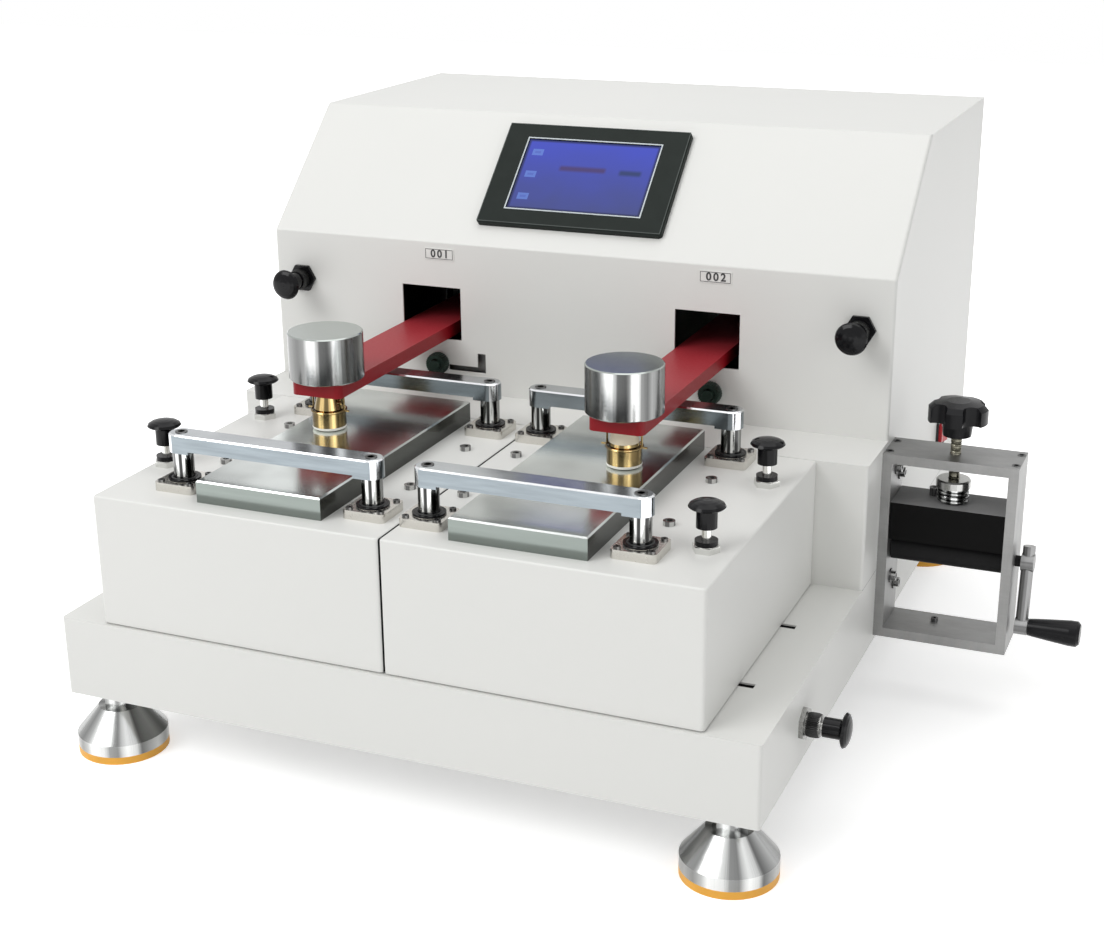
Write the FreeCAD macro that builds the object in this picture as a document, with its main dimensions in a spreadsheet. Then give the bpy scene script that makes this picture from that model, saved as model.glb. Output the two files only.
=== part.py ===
import FreeCAD, Part
import os
import re
import Sketcher

# Two-station rubbing tester with a hand-cranked wringer on its right side.
# Frame: +X right, +Y to the back, +Z up. The origin is on the floor, under the middle of the
# whole machine's outline. Lengths are in millimetres, angles in degrees.

SIZES = [
    # name, value, what it is
    ("mid_x", -56.6, "machine mid-plane, left of the origin because of the wringer"),
    ("base_width", 500, "base and cabinet width"),
    ("base_depth", 612, "base depth"),
    ("base_height", 57, "base height"),
    ("sheet_wall", 2, "sheet metal wall"),
    ("sheet_bend", 2.5, "outer bend radius of the sheet metal"),
    ("foot_inset_x", 25, "foot axis to the side of the base"),
    ("foot_inset_y", 23, "foot axis to the front or rear of the base"),
    ("foot_radius", 31.5, "levelling foot radius"),
    ("pad_height", 5.5, "rubber pad height"),
    ("foot_band", 8.5, "height of the foot's straight rim"),
    ("foot_cone", 19, "height of the foot's cone"),
    ("foot_neck", 15.5, "cone radius under the nut"),
    ("foot_nut_width", 20, "across the flats of the foot nut"),
    ("foot_nut_height", 10, "height of the foot nut"),
    ("foot_stud", 7, "levelling stud radius"),
    ("foot_stud_gap", 4, "bare stud under the base"),
    ("foot_stud_grip", 12, "stud length inside the base"),
    ("stud_play", 0.15, "radial play of a stud in its hole"),
    # cabinet
    ("shelf_line", 247, "base front to the shelf's front face"),
    ("front_line", 306, "base front to the cabinet's front wall"),
    ("slope_line", 400, "base front to the top edge of the slope"),
    ("slope_rise", 211, "base top to the lower edge of the slope"),
    ("cabinet_height", 298, "base top to the cabinet's top"),
    ("window_pitch", 224.6, "between the two arm windows"),
    ("window_width", 50, "arm window width"),
    ("window_height", 41.5, "arm window height"),
    ("window_drop", 1.5, "window sill under the arm"),
    ("lever_slot_x", 70.5, "lever slot's upright leg, left of the mid-plane"),
    ("lever_slot_width", 7, "lever slot width"),
    ("lever_slot_low", 17, "shelf to the lever slot's lower edge"),
    ("lever_slot_rise", 15.5, "height of the upright leg"),
    ("lever_slot_run", 25, "length of the level leg"),
    ("lever_slot_leg", 4.5, "height of the level leg"),
    ("rear_inset", 3, "rear panel set in from the cabinet's rear edge"),
    ("panel_play", 0.3, "gap round a fitted panel"),
    ("vent_count", 9, "slots in one vent field"),
    ("vent_pitch", 10, "between vent slots"),
    ("vent_length", 90, "vent slot length"),
    ("vent_slot", 4, "vent slot height"),
    ("vent_rise", 150, "base top to the lowest vent slot"),
    ("vent_shift", 120, "vent field centre from the mid-plane"),
    ("inlet_width", 27.5, "mains inlet body width"),
    ("inlet_height", 20, "mains inlet body height"),
    ("inlet_flange_width", 50, "mains inlet flange width"),
    ("inlet_flange_height", 23, "mains inlet flange height"),
    ("inlet_flange", 2.5, "mains inlet flange thickness"),
    ("inlet_depth", 22, "mains inlet depth"),
    ("inlet_rise", 40, "base top to the mains inlet's axis"),
    ("inlet_inset", 80, "base side to the mains inlet"),
    # operator panel on the slope
    ("panel_x", -3.3, "operator panel centre from the mid-plane"),
    ("panel_up", 66.9, "operator panel centre above the slope's lower edge"),
    ("panel_width", 150, "operator panel width"),
    ("panel_tall", 96, "operator panel height along the slope"),
    ("panel_thick", 5, "operator panel bezel thickness"),
    ("panel_corner", 3, "operator panel corner radius"),
    ("panel_box_width", 138, "operator panel body width"),
    ("panel_box_tall", 86, "operator panel body height"),
    ("panel_box_deep", 30, "operator panel body depth behind the sheet"),
    ("screen_width", 108, "screen width"),
    ("screen_tall", 66, "screen height"),
    ("screen_thick", 1.2, "screen glass thickness"),
    ("screen_sink", 0.8, "screen glass under the bezel's face"),
    ("screen_play", 0.2, "gap round the screen glass"),
    # stages
    ("stage_front", 2.5, "base front to the stage front"),
    ("stage_depth", 244.5, "stage depth"),
    ("stage_width", 214.5, "stage width"),
    ("stage_height", 93, "stage height, level with the shelf"),
    ("stage_split", 0.8, "gap between the stages"),
    ("stage_shift", -1.6, "the gap's place from the mid-plane"),
    ("station_pitch", 183.4, "between the specimen tables"),
    ("station_shift", -5, "middle of the tables from the mid-plane"),
    ("table_front", 17, "base front to the specimen table"),
    ("table_length", 224, "specimen table length"),
    ("table_width", 93, "specimen table width"),
    ("table_thick", 15.3, "specimen table thickness"),
    ("table_edge", 1, "specimen table edge chamfer"),
    ("guide_slot_width", 6, "width of the guide slots in the base top"),
    ("guide_slot_out", 27, "guide slot's outer end from the base side"),
    ("guide_slot_length", 40, "guide slot length"),
    ("guide_slot_front", 74, "base front to the front slot"),
    ("guide_slot_rear", 170, "base front to the rear slot"),
    ("guide_key", 5.4, "width of the key in a guide slot"),
    ("guide_key_length", 14, "guide key length"),
    ("guide_key_depth", 1.5, "guide key depth"),
    ("guide_key_edge", 3, "guide key to the stage's side"),
    ("shadow_gap", 1, "height of the rebate under the stage's walls"),
    ("shadow_depth", 1.2, "depth of that rebate"),
    # specimen clamps
    ("post_pitch", 143, "between the two posts of a clamp"),
    ("post_radius", 7, "clamp post radius"),
    ("clamp_front_line", 41.3, "base front to the front posts"),
    ("clamp_rear_line", 222.5, "base front to the rear posts"),
    ("flange_side", 30, "guide flange side"),
    ("flange_thick", 6, "guide flange thickness"),
    ("flange_corner", 3, "guide flange corner radius"),
    ("seal_radius", 11, "guide flange seal radius"),
    ("seal_height", 1.5, "guide flange seal height"),
    ("sleeve_radius", 10.5, "guide sleeve radius under the flange"),
    ("sleeve_length", 22, "guide sleeve length under the flange"),
    ("post_play", 0.05, "radial play of a post in its sleeve"),
    ("bar_length", 160, "clamp bar length"),
    ("bar_depth", 17, "clamp bar depth"),
    ("bar_thick", 11, "clamp bar thickness"),
    ("bar_gap", 12.4, "clamp bar above the specimen table"),
    ("bar_boss", 2, "how far the bar's ends reach lower"),
    ("bar_boss_length", 18, "length of the bar's thick ends"),
    ("bar_edge", 1, "clamp bar edge chamfer"),
    ("post_seat", 5, "how far a post enters its bar"),
    ("tie_drop", 84, "bar underside to the lower tie"),
    ("tie_thick", 8, "lower tie thickness"),
    # spring plungers
    ("stage_nut", 15.5, "across the flats of a stage plunger's nut"),
    ("stage_nut_height", 4, "stage plunger nut height"),
    ("stage_barrel_length", 3.5, "stage plunger barrel length above its nut"),
    ("stage_pin_gap", 8, "bare pin between barrel and knob on the stages"),
    ("side_nut", 20, "across the flats of a front or side plunger's nut"),
    ("side_nut_height", 3, "front and side plunger nut height"),
    ("side_barrel_length", 9.5, "front and side plunger barrel length above its nut"),
    ("side_pin_gap", 1.5, "bare pin between barrel and knob on the front and sides"),
    ("plunger_barrel", 7.25, "plunger barrel radius"),
    ("plunger_thread", 6, "plunger thread radius in the sheet"),
    ("plunger_thread_length", 9, "plunger thread length under the nut"),
    ("plunger_pin", 3, "plunger pin radius"),
    ("plunger_tip", 6, "pin standing out of the thread"),
    ("plunger_grip", 6.6, "radius of the knob's neck"),
    ("plunger_grip_length", 11, "length of the knob's neck"),
    ("plunger_cap", 11.7, "radius of the knob's cap"),
    ("plunger_flare", 1.8, "height of the cap's sloping underside"),
    ("plunger_brim", 0.8, "height of the cap's rounded brim"),
    ("plunger_dome", 4.2, "height of the cap's dome"),
    ("pin_play", 0.05, "radial play of a pin in its bore"),
    ("left_front_plunger_x", 11.5, "left front stage plunger to the stage's outer side"),
    ("left_front_plunger_y", 74, "left front stage plunger from the base front"),
    ("left_rear_plunger_x", 18, "left rear stage plunger to the stage's outer side"),
    ("left_rear_plunger_y", 193, "left rear stage plunger from the base front"),
    ("right_front_plunger_x", 19.3, "right front stage plunger to the stage's outer side"),
    ("right_front_plunger_y", 59.5, "right front stage plunger from the base front"),
    ("right_rear_plunger_x", 18.3, "right rear stage plunger to the stage's outer side"),
    ("right_rear_plunger_y", 186, "right rear stage plunger from the base front"),
    ("side_plunger_line", 93, "base front to the side plungers"),
    ("side_plunger_rise", 27.5, "base underside to the side plungers"),
    ("front_plunger_inset", 24, "cabinet side to the front plungers"),
    ("front_plunger_rise", 173.5, "base top to the front plungers"),
    # arms
    ("arm_pitch", 224, "between the arms"),
    ("arm_shift", -4.6, "middle of the arms from the mid-plane"),
    ("arm_width", 39, "arm width"),
    ("arm_thick", 10, "arm thickness"),
    ("arm_rise", 43, "stage top to the arm's underside"),
    ("arm_corner", 5, "arm corner radius"),
    ("finger_line", 148, "base front to the finger's axis"),
    ("finger_overhang", 18, "arm end in front of the finger's axis"),
    ("pivot_line", 420, "base front to the arm's pivot"),
    ("pivot_pin", 3, "pivot pin radius"),
    ("pivot_tail", 12, "arm behind the pivot"),
    ("weight_radius", 26.5, "weight radius"),
    ("weight_height", 33.5, "weight height"),
    ("weight_edge", 0.8, "weight edge chamfer"),
    ("finger_radius", 12, "finger nose radius"),
    ("finger_nose", 12.5, "finger nose height"),
    ("finger_edge", 1.5, "finger nose edge chamfer"),
    ("finger_shoulder", 10.5, "finger shoulder radius"),
    ("finger_groove", 2.4, "height of the cloth ring's groove"),
    ("finger_neck", 7.5, "finger radius under the arm"),
    ("finger_gap", 0.2, "finger above the specimen table"),
    ("finger_stud", 4, "radius of the stud that carries the weight"),
    ("finger_stud_length", 19, "stud length above the arm's underside"),
    ("ring_wire", 0.8, "cloth ring wire radius"),
    ("ring_end", 0.7, "radius of the ring's ears and uprights"),
    ("ring_play", 1, "cloth ring clear of the finger"),
    ("ring_ear", 4, "length of the cloth ring's ears"),
    # carriages inside the cabinet
    ("rod_radius", 6, "guide rod radius"),
    ("rod_pitch", 50, "between the two rods of a carriage"),
    ("rod_rise", 113, "base top to the guide rods"),
    ("rod_play", 0.05, "radial play of a carriage on its rods"),
    ("bracket_front", 312, "base front to the front bracket"),
    ("bracket_rear", 500, "base front to the rear bracket"),
    ("bracket_thick", 10, "bracket thickness"),
    ("bracket_foot", 22, "bracket foot depth"),
    ("bracket_side", 60, "bracket beyond the arm's axis"),
    ("bracket_rim", 15, "bracket above the rods"),
    ("carriage_width", 74, "carriage width"),
    ("carriage_length", 50, "carriage length"),
    ("carriage_height", 26, "carriage block height"),
    ("ear_thick", 8, "carriage ear thickness"),
    ("ear_length", 20, "carriage ear length"),
    ("ear_play", 0.5, "side play of the arm between the ears"),
    ("ear_rim", 8, "ear above the pivot"),
    # rocker switch
    ("switch_line", 508, "base front to the rocker switch"),
    ("switch_rise", 38, "base top to the rocker switch"),
    ("switch_length", 31, "switch frame length"),
    ("switch_tall", 25, "switch frame height"),
    ("switch_frame", 1.2, "switch frame rim width"),
    ("switch_stand", 2, "switch frame standing out of the sheet"),
    ("switch_lip", 1.5, "switch frame beyond the switch body"),
    ("switch_well", 8, "depth of the rocker's well behind the sheet"),
    ("switch_body", 24, "switch body depth"),
    ("rocker_radius", 26, "radius of the rocker's face"),
    ("rocker_stand", 4.5, "rocker's ends standing out of the sheet"),
    ("rocker_play", 0.5, "gap round the rocker"),
    # wringer
    ("wringer_line", 310, "base front to the wringer's rollers"),
    ("wringer_low", 5, "base underside to the wringer's lower bar"),
    ("wringer_width", 95.5, "wringer frame width"),
    ("wringer_height", 141, "wringer frame height"),
    ("wringer_depth", 40, "wringer frame depth"),
    ("wringer_bar", 7, "wringer bar thickness"),
    ("roller_radius", 10.25, "roller radius"),
    ("roller_low", 65.7, "wringer's underside to the lower roller's axis"),
    ("nip_gap", 0.3, "gap between the rollers"),
    ("roller_play", 0.5, "side gap of a roller"),
    ("journal_radius", 4, "roller journal radius"),
    ("journal_play", 0.05, "radial play of a journal"),
    ("plate_thick", 7, "pressure plate thickness"),
    ("plate_depth", 38, "pressure plate depth"),
    ("plate_rise", 1, "pressure plate above the upper roller"),
    ("plate_play", 0.3, "side gap of the pressure plate"),
    ("cheek_thick", 4, "pressure plate cheek thickness"),
    ("cheek_drop", 9.8, "cheek and skirt below the upper roller's axis"),
    ("skirt_thick", 3.5, "thickness of the plate's front and rear skirt"),
    ("screw_radius", 4, "pressure screw radius"),
    ("screw_play", 0.05, "radial play of the pressure screw"),
    ("screw_length", 52, "pressure screw length"),
    ("knob_gap", 13.6, "top bar to the star knob"),
    ("knob_hub", 10, "star knob hub radius"),
    ("knob_hub_height", 10.5, "star knob hub height"),
    ("knob_radius", 21, "star knob radius"),
    ("knob_height", 15, "star knob head height"),
    ("knob_valley", 14.5, "axis to the middle of a finger hollow"),
    ("knob_hollow", 7.5, "radius of a finger hollow"),
    ("knob_dome", 2.4, "chamfer of the star knob's crown"),
    ("knob_socket", 14, "screw depth in the star knob"),
    ("spring_radius", 10.7, "pressure spring radius"),
    ("spring_wire", 2.6, "pressure spring wall"),
    ("spring_height", 13.5, "pressure spring height"),
    ("cup_radius", 11.5, "spring cup radius"),
    ("cup_height", 6, "spring cup height"),
    ("cup_rim", 2, "spring cup rim over the spring"),
    ("spring_play", 0.3, "gap between spring and cup rim"),
    ("crank_stub", 8.5, "shaft standing out of the wringer frame"),
    ("crank_hub", 6.5, "crank hub radius"),
    ("crank_hub_width", 9, "crank hub width"),
    ("bore_floor", 0.3, "shaft end to the bottom of the crank's bore"),
    ("crank_radius", 47, "crank radius"),
    ("crank_rod", 4.4, "crank rod radius"),
    ("crank_head", 12, "crank rod above the shaft"),
    ("crank_lean", -9, "crank's lean to the front"),
    ("crank_boss", 6.2, "radius of the crank's lower boss"),
    ("grip_length", 36, "crank grip length"),
    ("grip_near", 6, "grip radius at the crank"),
    ("grip_far", 9.25, "grip radius at its end"),
    ("grip_pin", 3, "grip spindle radius"),
    ("grip_gap", 0.5, "crank to grip"),
    ("grip_floor", 4, "grip beyond its spindle"),
]

doc = FreeCAD.newDocument("rubbing_tester")
sizes = doc.addObject("Spreadsheet::Sheet", "Sizes")
for row, (alias, number, note) in enumerate(SIZES, 1):
    sizes.set("A%d" % row, alias)
    sizes.set("B%d" % row, str(number))
    sizes.set("C%d" % row, note)
    sizes.setAlias("B%d" % row, alias)
doc.recompute()

# Places that several pieces share, as expressions of the sizes.
MID = "mid_x"
FRONT = "-base_depth / 2"
BASE_Z = "(pad_height + foot_band + foot_cone + foot_nut_height + foot_stud_gap)"
BASE_TOP = BASE_Z + " + base_height"
STAGE_TOP = BASE_TOP + " + stage_height"
TABLE_TOP = STAGE_TOP + " + table_thick"
BAR_LOW = TABLE_TOP + " + bar_gap"
ARM_LOW = STAGE_TOP + " + arm_rise"
ARM_MID = ARM_LOW + " + arm_thick / 2"
ROD_Z = BASE_TOP + " + rod_rise"
SIDE = "mid_x + base_width / 2"
WRINGER_Z = BASE_Z + " + wringer_low"
ROLLER_Y = FRONT + " + wringer_line"
ROLLER_LOW = WRINGER_Z + " + roller_low"
ROLLER_HIGH = ROLLER_LOW + " + 2 * roller_radius + nip_gap"
PLATE_LOW = ROLLER_HIGH + " + roller_radius + plate_rise"
PLATE_TOP = PLATE_LOW + " + plate_thick"
WRINGER_TOP = WRINGER_Z + " + wringer_height"
SCREW_X = SIDE + " + wringer_width / 2"
KNOB_LOW = WRINGER_TOP + " + knob_gap"
CUP_LOW = PLATE_TOP + " + spring_height - cup_rim"
CRANK_X = SIDE + " + wringer_width + crank_stub"
PLUNGER_Y = FRONT + " + side_plunger_line"
PLUNGER_Z = BASE_Z + " + side_plunger_rise"
SLOPE_ANGLE = "atan2(cabinet_height - slope_rise; slope_line - front_line)"

# How a piece drawn along +Z is turned to stand along another axis.
TURNS = {
    "+z": ((0, 0, 1), 0),
    "+x": ((0, 1, 0), 90),
    "-x": ((0, 1, 0), -90),
    "-y": ((1, 0, 0), 90),
    "+y": ((1, 0, 0), -90),
}


def bound(text):
    """Points each size name in an expression at the spreadsheet."""
    return re.sub(r"[a-z]+(?:_[a-z]+)+", lambda found: "Sizes." + found.group(), text)


def measure(text):
    """The present value of an expression."""
    number = sizes.evalExpression(bound(text))
    return float(getattr(number, "Value", number))


def place(thing, at, turn="+z"):
    """Turns a thing and binds its position to the sizes."""
    axis, angle = TURNS[turn]
    rotation = FreeCAD.Rotation(FreeCAD.Vector(*axis), angle)
    thing.Placement = FreeCAD.Placement(FreeCAD.Vector(), rotation)
    for letter, text in zip("xyz", at):
        thing.setExpression(".Placement.Base." + letter, bound(text))
    return thing


def box(name, size, at):
    """A box from its low corner."""
    thing = doc.addObject("Part::Box", name)
    for field, text in zip(("Length", "Width", "Height"), size):
        thing.setExpression(field, bound(text))
    return place(thing, at)


def rod(name, radius, length, at, turn="+z"):
    """A cylinder from the middle of its first end."""
    thing = doc.addObject("Part::Cylinder", name)
    thing.setExpression("Radius", bound(radius))
    thing.setExpression("Height", bound(length))
    return place(thing, at, turn)


def cut(name, base, *tools):
    """The base without its tools."""
    thing = doc.addObject("Part::Cut", name)
    thing.Base = base
    if len(tools) == 1:
        thing.Tool = tools[0]
    else:
        every = doc.addObject("Part::Compound", name + "_tools")
        every.Links = list(tools)
        thing.Tool = every
    return thing


def fuse(name, *things):
    """Several overlapping solids as one."""
    thing = doc.addObject("Part::MultiFuse", name)
    thing.Shapes = list(things)
    thing.Refine = True
    return thing


def group(name, *things):
    """Separate solids that share one node."""
    thing = doc.addObject("Part::Compound", name)
    thing.Links = list(things)
    return thing


class Piece:
    """A PartDesign body that is built up feature by feature."""

    def __init__(self, name, at=("0", "0", "0"), turn="+z"):
        self.name = name
        self.count = 0
        self.body = doc.addObject("PartDesign::Body", name)
        place(self.body, at, turn)

    def label(self, word):
        self.count += 1
        return "%s_%s_%d" % (self.name, word, self.count)

    def sketch(self, plane, loops, lift=None):
        """Draws closed loops on an origin plane. A loop is a list of points or one circle."""
        sketch = self.body.newObject("Sketcher::SketchObject", self.label("sketch"))
        roles = {item.Role: item for item in self.body.Origin.OriginFeatures}
        sketch.AttachmentSupport = [(roles[plane + "_Plane"], "")]
        sketch.MapMode = "FlatFace"
        if lift:
            sketch.setExpression(".AttachmentOffset.Base.z", bound(lift))
        for loop in loops:
            if isinstance(loop, tuple):
                self.draw_circle(sketch, *loop)
            else:
                self.draw_outline(sketch, loop)
        return sketch

    def pin(self, sketch, kind, where, text):
        """Holds one coordinate of a point at an expression."""
        index = sketch.addConstraint(Sketcher.Constraint(kind, -1, 1, *where, measure(text)))
        sketch.setExpression("Constraints[%d]" % index, bound(text))

    def draw_circle(self, sketch, x, y, radius):
        centre = FreeCAD.Vector(measure(x), measure(y), 0)
        up = FreeCAD.Vector(0, 0, 1)
        item = sketch.addGeometry(Part.Circle(centre, up, measure(radius)), False)
        index = sketch.addConstraint(Sketcher.Constraint("Radius", item, measure(radius)))
        sketch.setExpression("Constraints[%d]" % index, bound(radius))
        self.pin(sketch, "DistanceX", (item, 3), x)
        self.pin(sketch, "DistanceY", (item, 3), y)

    def draw_outline(self, sketch, points):
        spots = [FreeCAD.Vector(measure(x), measure(y), 0) for x, y in points]
        first = sketch.GeometryCount
        last = len(spots) - 1
        for n, spot in enumerate(spots):
            after = spots[0 if n == last else n + 1]
            sketch.addGeometry(Part.LineSegment(spot, after), False)
        for n in range(len(spots)):
            after = first if n == last else first + n + 1
            sketch.addConstraint(Sketcher.Constraint("Coincident", first + n, 2, after, 1))
        for n, (x, y) in enumerate(points):
            self.pin(sketch, "DistanceX", (first + n, 1), x)
            self.pin(sketch, "DistanceY", (first + n, 1), y)

    def feature(self, kind, sketch):
        thing = self.body.newObject("PartDesign::" + kind, self.label(kind.lower()))
        thing.Profile = sketch
        return thing

    def pad(self, plane, loops, length, both=False, lift=None, back=False):
        thing = self.feature("Pad", self.sketch(plane, loops, lift))
        thing.setExpression("Length", bound(length))
        thing.Midplane = both
        thing.Reversed = back
        return self

    def pocket(self, plane, loops, length, both=False, lift=None, back=False):
        """Cuts loops out, and stops the build if nothing was cut."""
        doc.recompute()
        before = self.body.Shape.Volume
        thing = self.feature("Pocket", self.sketch(plane, loops, lift))
        thing.setExpression("Length", bound(length))
        thing.Midplane = both
        thing.Reversed = back
        doc.recompute()
        if self.body.Shape.Volume > before - 1e-6:
            raise RuntimeError(thing.Name + " cuts nothing")
        return self

    def revolve(self, points):
        """Turns a half profile of (radius, height) points about the body's Z axis."""
        sketch = self.sketch("XZ", [points])
        thing = self.feature("Revolution", sketch)
        thing.ReferenceAxis = (sketch, ["V_Axis"])
        thing.Angle = 360
        return self

    def edges(self, chosen):
        """Names of the edges whose middle and direction pass the test."""
        doc.recompute()
        names = []
        for n, edge in enumerate(self.body.Shape.Edges, 1):
            middle = edge.valueAt((edge.FirstParameter + edge.LastParameter) / 2)
            middle = self.body.Placement.inverse().multVec(middle)
            run = edge.tangentAt((edge.FirstParameter + edge.LastParameter) / 2)
            run = self.body.Placement.Rotation.inverted().multVec(run)
            if chosen(middle, run, edge):
                names.append("Edge%d" % n)
        return names

    def dress(self, kind, chosen, field, text):
        names = self.edges(chosen)
        thing = self.body.newObject("PartDesign::" + kind, self.label(kind.lower()))
        thing.Base = (self.body.Group[-2], names)
        thing.setExpression(field, bound(text))
        return self

    def fillet(self, chosen, radius):
        return self.dress("Fillet", chosen, "Radius", radius)

    def chamfer(self, chosen, size):
        return self.dress("Chamfer", chosen, "Size", size)


def upright(middle, run, edge):
    return abs(run.z) > 0.999 and edge.Curve.TypeId == "Part::GeomLine"


def rectangle(x, y, width, tall):
    """Corner points of a rectangle given by its middle."""
    left = "%s - (%s) / 2" % (x, width)
    right = "%s + (%s) / 2" % (x, width)
    low = "%s - (%s) / 2" % (y, tall)
    high = "%s + (%s) / 2" % (y, tall)
    return [(left, low), (right, low), (right, high), (left, high)]


def hexagon(across):
    """Corner points of a hexagon about the sketch's origin."""
    flat = "(%s) / 2" % across
    corner = "(%s) / 2 / cos(30)" % across
    side = "(%s) / 2 * tan(30)" % across
    return [
        (corner, "0"),
        (side, flat),
        ("-" + side, flat),
        ("-" + corner, "0"),
        ("-" + side, "-" + flat),
        (side, "-" + flat),
    ]


nodes = {}


def keep(node, thing):
    """Names a finished sub-part after its node."""
    thing = getattr(thing, "body", thing)
    thing.Label = node
    nodes[node] = thing
    return thing


# Base and feet

def base_plinth():
    """A low sheet metal box with guide slots in its top and holes for studs and plungers."""
    outer = Piece("plinth", (MID, FRONT, BASE_Z))
    outer.pad("XY", [rectangle("0", "base_depth / 2", "base_width", "base_depth")], "base_height")
    outer.fillet(upright, "sheet_bend")
    hollow = box(
        "plinth_hollow",
        ("base_width - 2 * sheet_wall", "base_depth - 2 * sheet_wall", "base_height - 2 * sheet_wall"),
        (MID + " - base_width / 2 + sheet_wall", FRONT + " + sheet_wall", BASE_Z + " + sheet_wall"),
    )
    tools = [hollow]
    for side, sign in (("left", "-"), ("right", "+")):
        edge = "base_width / 2 - guide_slot_out"
        low_x = MID + " + " + edge + " - guide_slot_length"
        if sign == "-":
            low_x = MID + " - (" + edge + ")"
        for end in ("front", "rear"):
            line = FRONT + " + guide_slot_" + end + " - guide_slot_width / 2"
            at = (low_x, line, BASE_TOP + " - sheet_wall - 1")
            size = ("guide_slot_length", "guide_slot_width", "sheet_wall + 2")
            tools.append(box("guide_slot_%s_%s" % (side, end), size, at))
        hole_at = (MID + " %s (base_width / 2 - sheet_wall - 1)" % sign, PLUNGER_Y, PLUNGER_Z)
        hole = rod(
            "side_hole_" + side,
            "plunger_thread + stud_play",
            "sheet_wall + 2",
            hole_at,
            sign + "x",
        )
        tools.append(hole)
        for end in ("front", "rear"):
            at = foot_spot(sign, end) + (BASE_Z + " - 1",)
            name = "stud_hole_%s_%s" % (side, end)
            tools.append(rod(name, "foot_stud + stud_play", "sheet_wall + 2", at))
    return cut("base_plinth", outer.body, *tools)


def foot_spot(sign, end):
    """Where a foot stands, as x and y."""
    x = MID + " %s (base_width / 2 - foot_inset_x)" % sign
    y = FRONT + " + foot_inset_y" if end == "front" else "base_depth / 2 - foot_inset_y"
    return (x, y)


def foot_steel(name, at):
    """A levelling foot: stud, nut, cone and rim in one turned piece with a hexagonal nut."""
    cone_z = "pad_height + foot_band"
    nut_z = cone_z + " + foot_cone"
    stud_z = nut_z + " + foot_nut_height"
    foot = Piece(name, at + ("0",))
    foot.revolve(
        [
            ("0", "pad_height"),
            ("foot_radius", "pad_height"),
            ("foot_radius", cone_z),
            ("foot_neck", nut_z),
            ("foot_stud", nut_z),
            ("foot_stud", stud_z + " + foot_stud_gap + foot_stud_grip"),
            ("0", stud_z + " + foot_stud_gap + foot_stud_grip"),
        ]
    )
    foot.pad("XY", [hexagon("foot_nut_width")], "foot_nut_height", lift=nut_z)
    return foot.body


FOOT_PLACES = [("-", "front"), ("+", "front"), ("-", "rear"), ("+", "rear")]

steels = []
pads = []
for number, (sign, end) in enumerate(FOOT_PLACES, 1):
    spot = foot_spot(sign, end)
    steels.append(foot_steel("foot_steel_%d" % number, spot))
    pads.append(rod("foot_pad_%d" % number, "foot_radius", "pad_height", spot + ("0",)))
keep("base_plinth", base_plinth())
keep("foot_bodies", group("foot_bodies", *steels))
keep("foot_pads", group("foot_pads", *pads))


# Cabinet

def cabinet_side(inset):
    """Side profile of the cabinet as (y, z) from the front lower corner of the base top."""
    run = "(slope_line - front_line)"
    rise = "(cabinet_height - slope_rise)"
    slant = "sqrt(%s^2 + %s^2)" % (run, rise)
    # offsets of the two slope corners for a wall of the given thickness
    low_y = "front_line + (%s)" % inset
    low_z = "slope_rise - (%s) * (%s - %s) / %s" % (inset, slant, rise, run)
    top_y = "slope_line + (%s) * (%s - %s) / %s" % (inset, slant, run, rise)
    return [
        ("shelf_line + (%s)" % inset, "0"),
        ("base_depth", "0"),
        ("base_depth", "cabinet_height - (%s)" % inset),
        (top_y, "cabinet_height - (%s)" % inset),
        (low_y, low_z),
        (low_y, "stage_height - (%s)" % inset),
        ("shelf_line + (%s)" % inset, "stage_height - (%s)" % inset),
    ]


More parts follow.
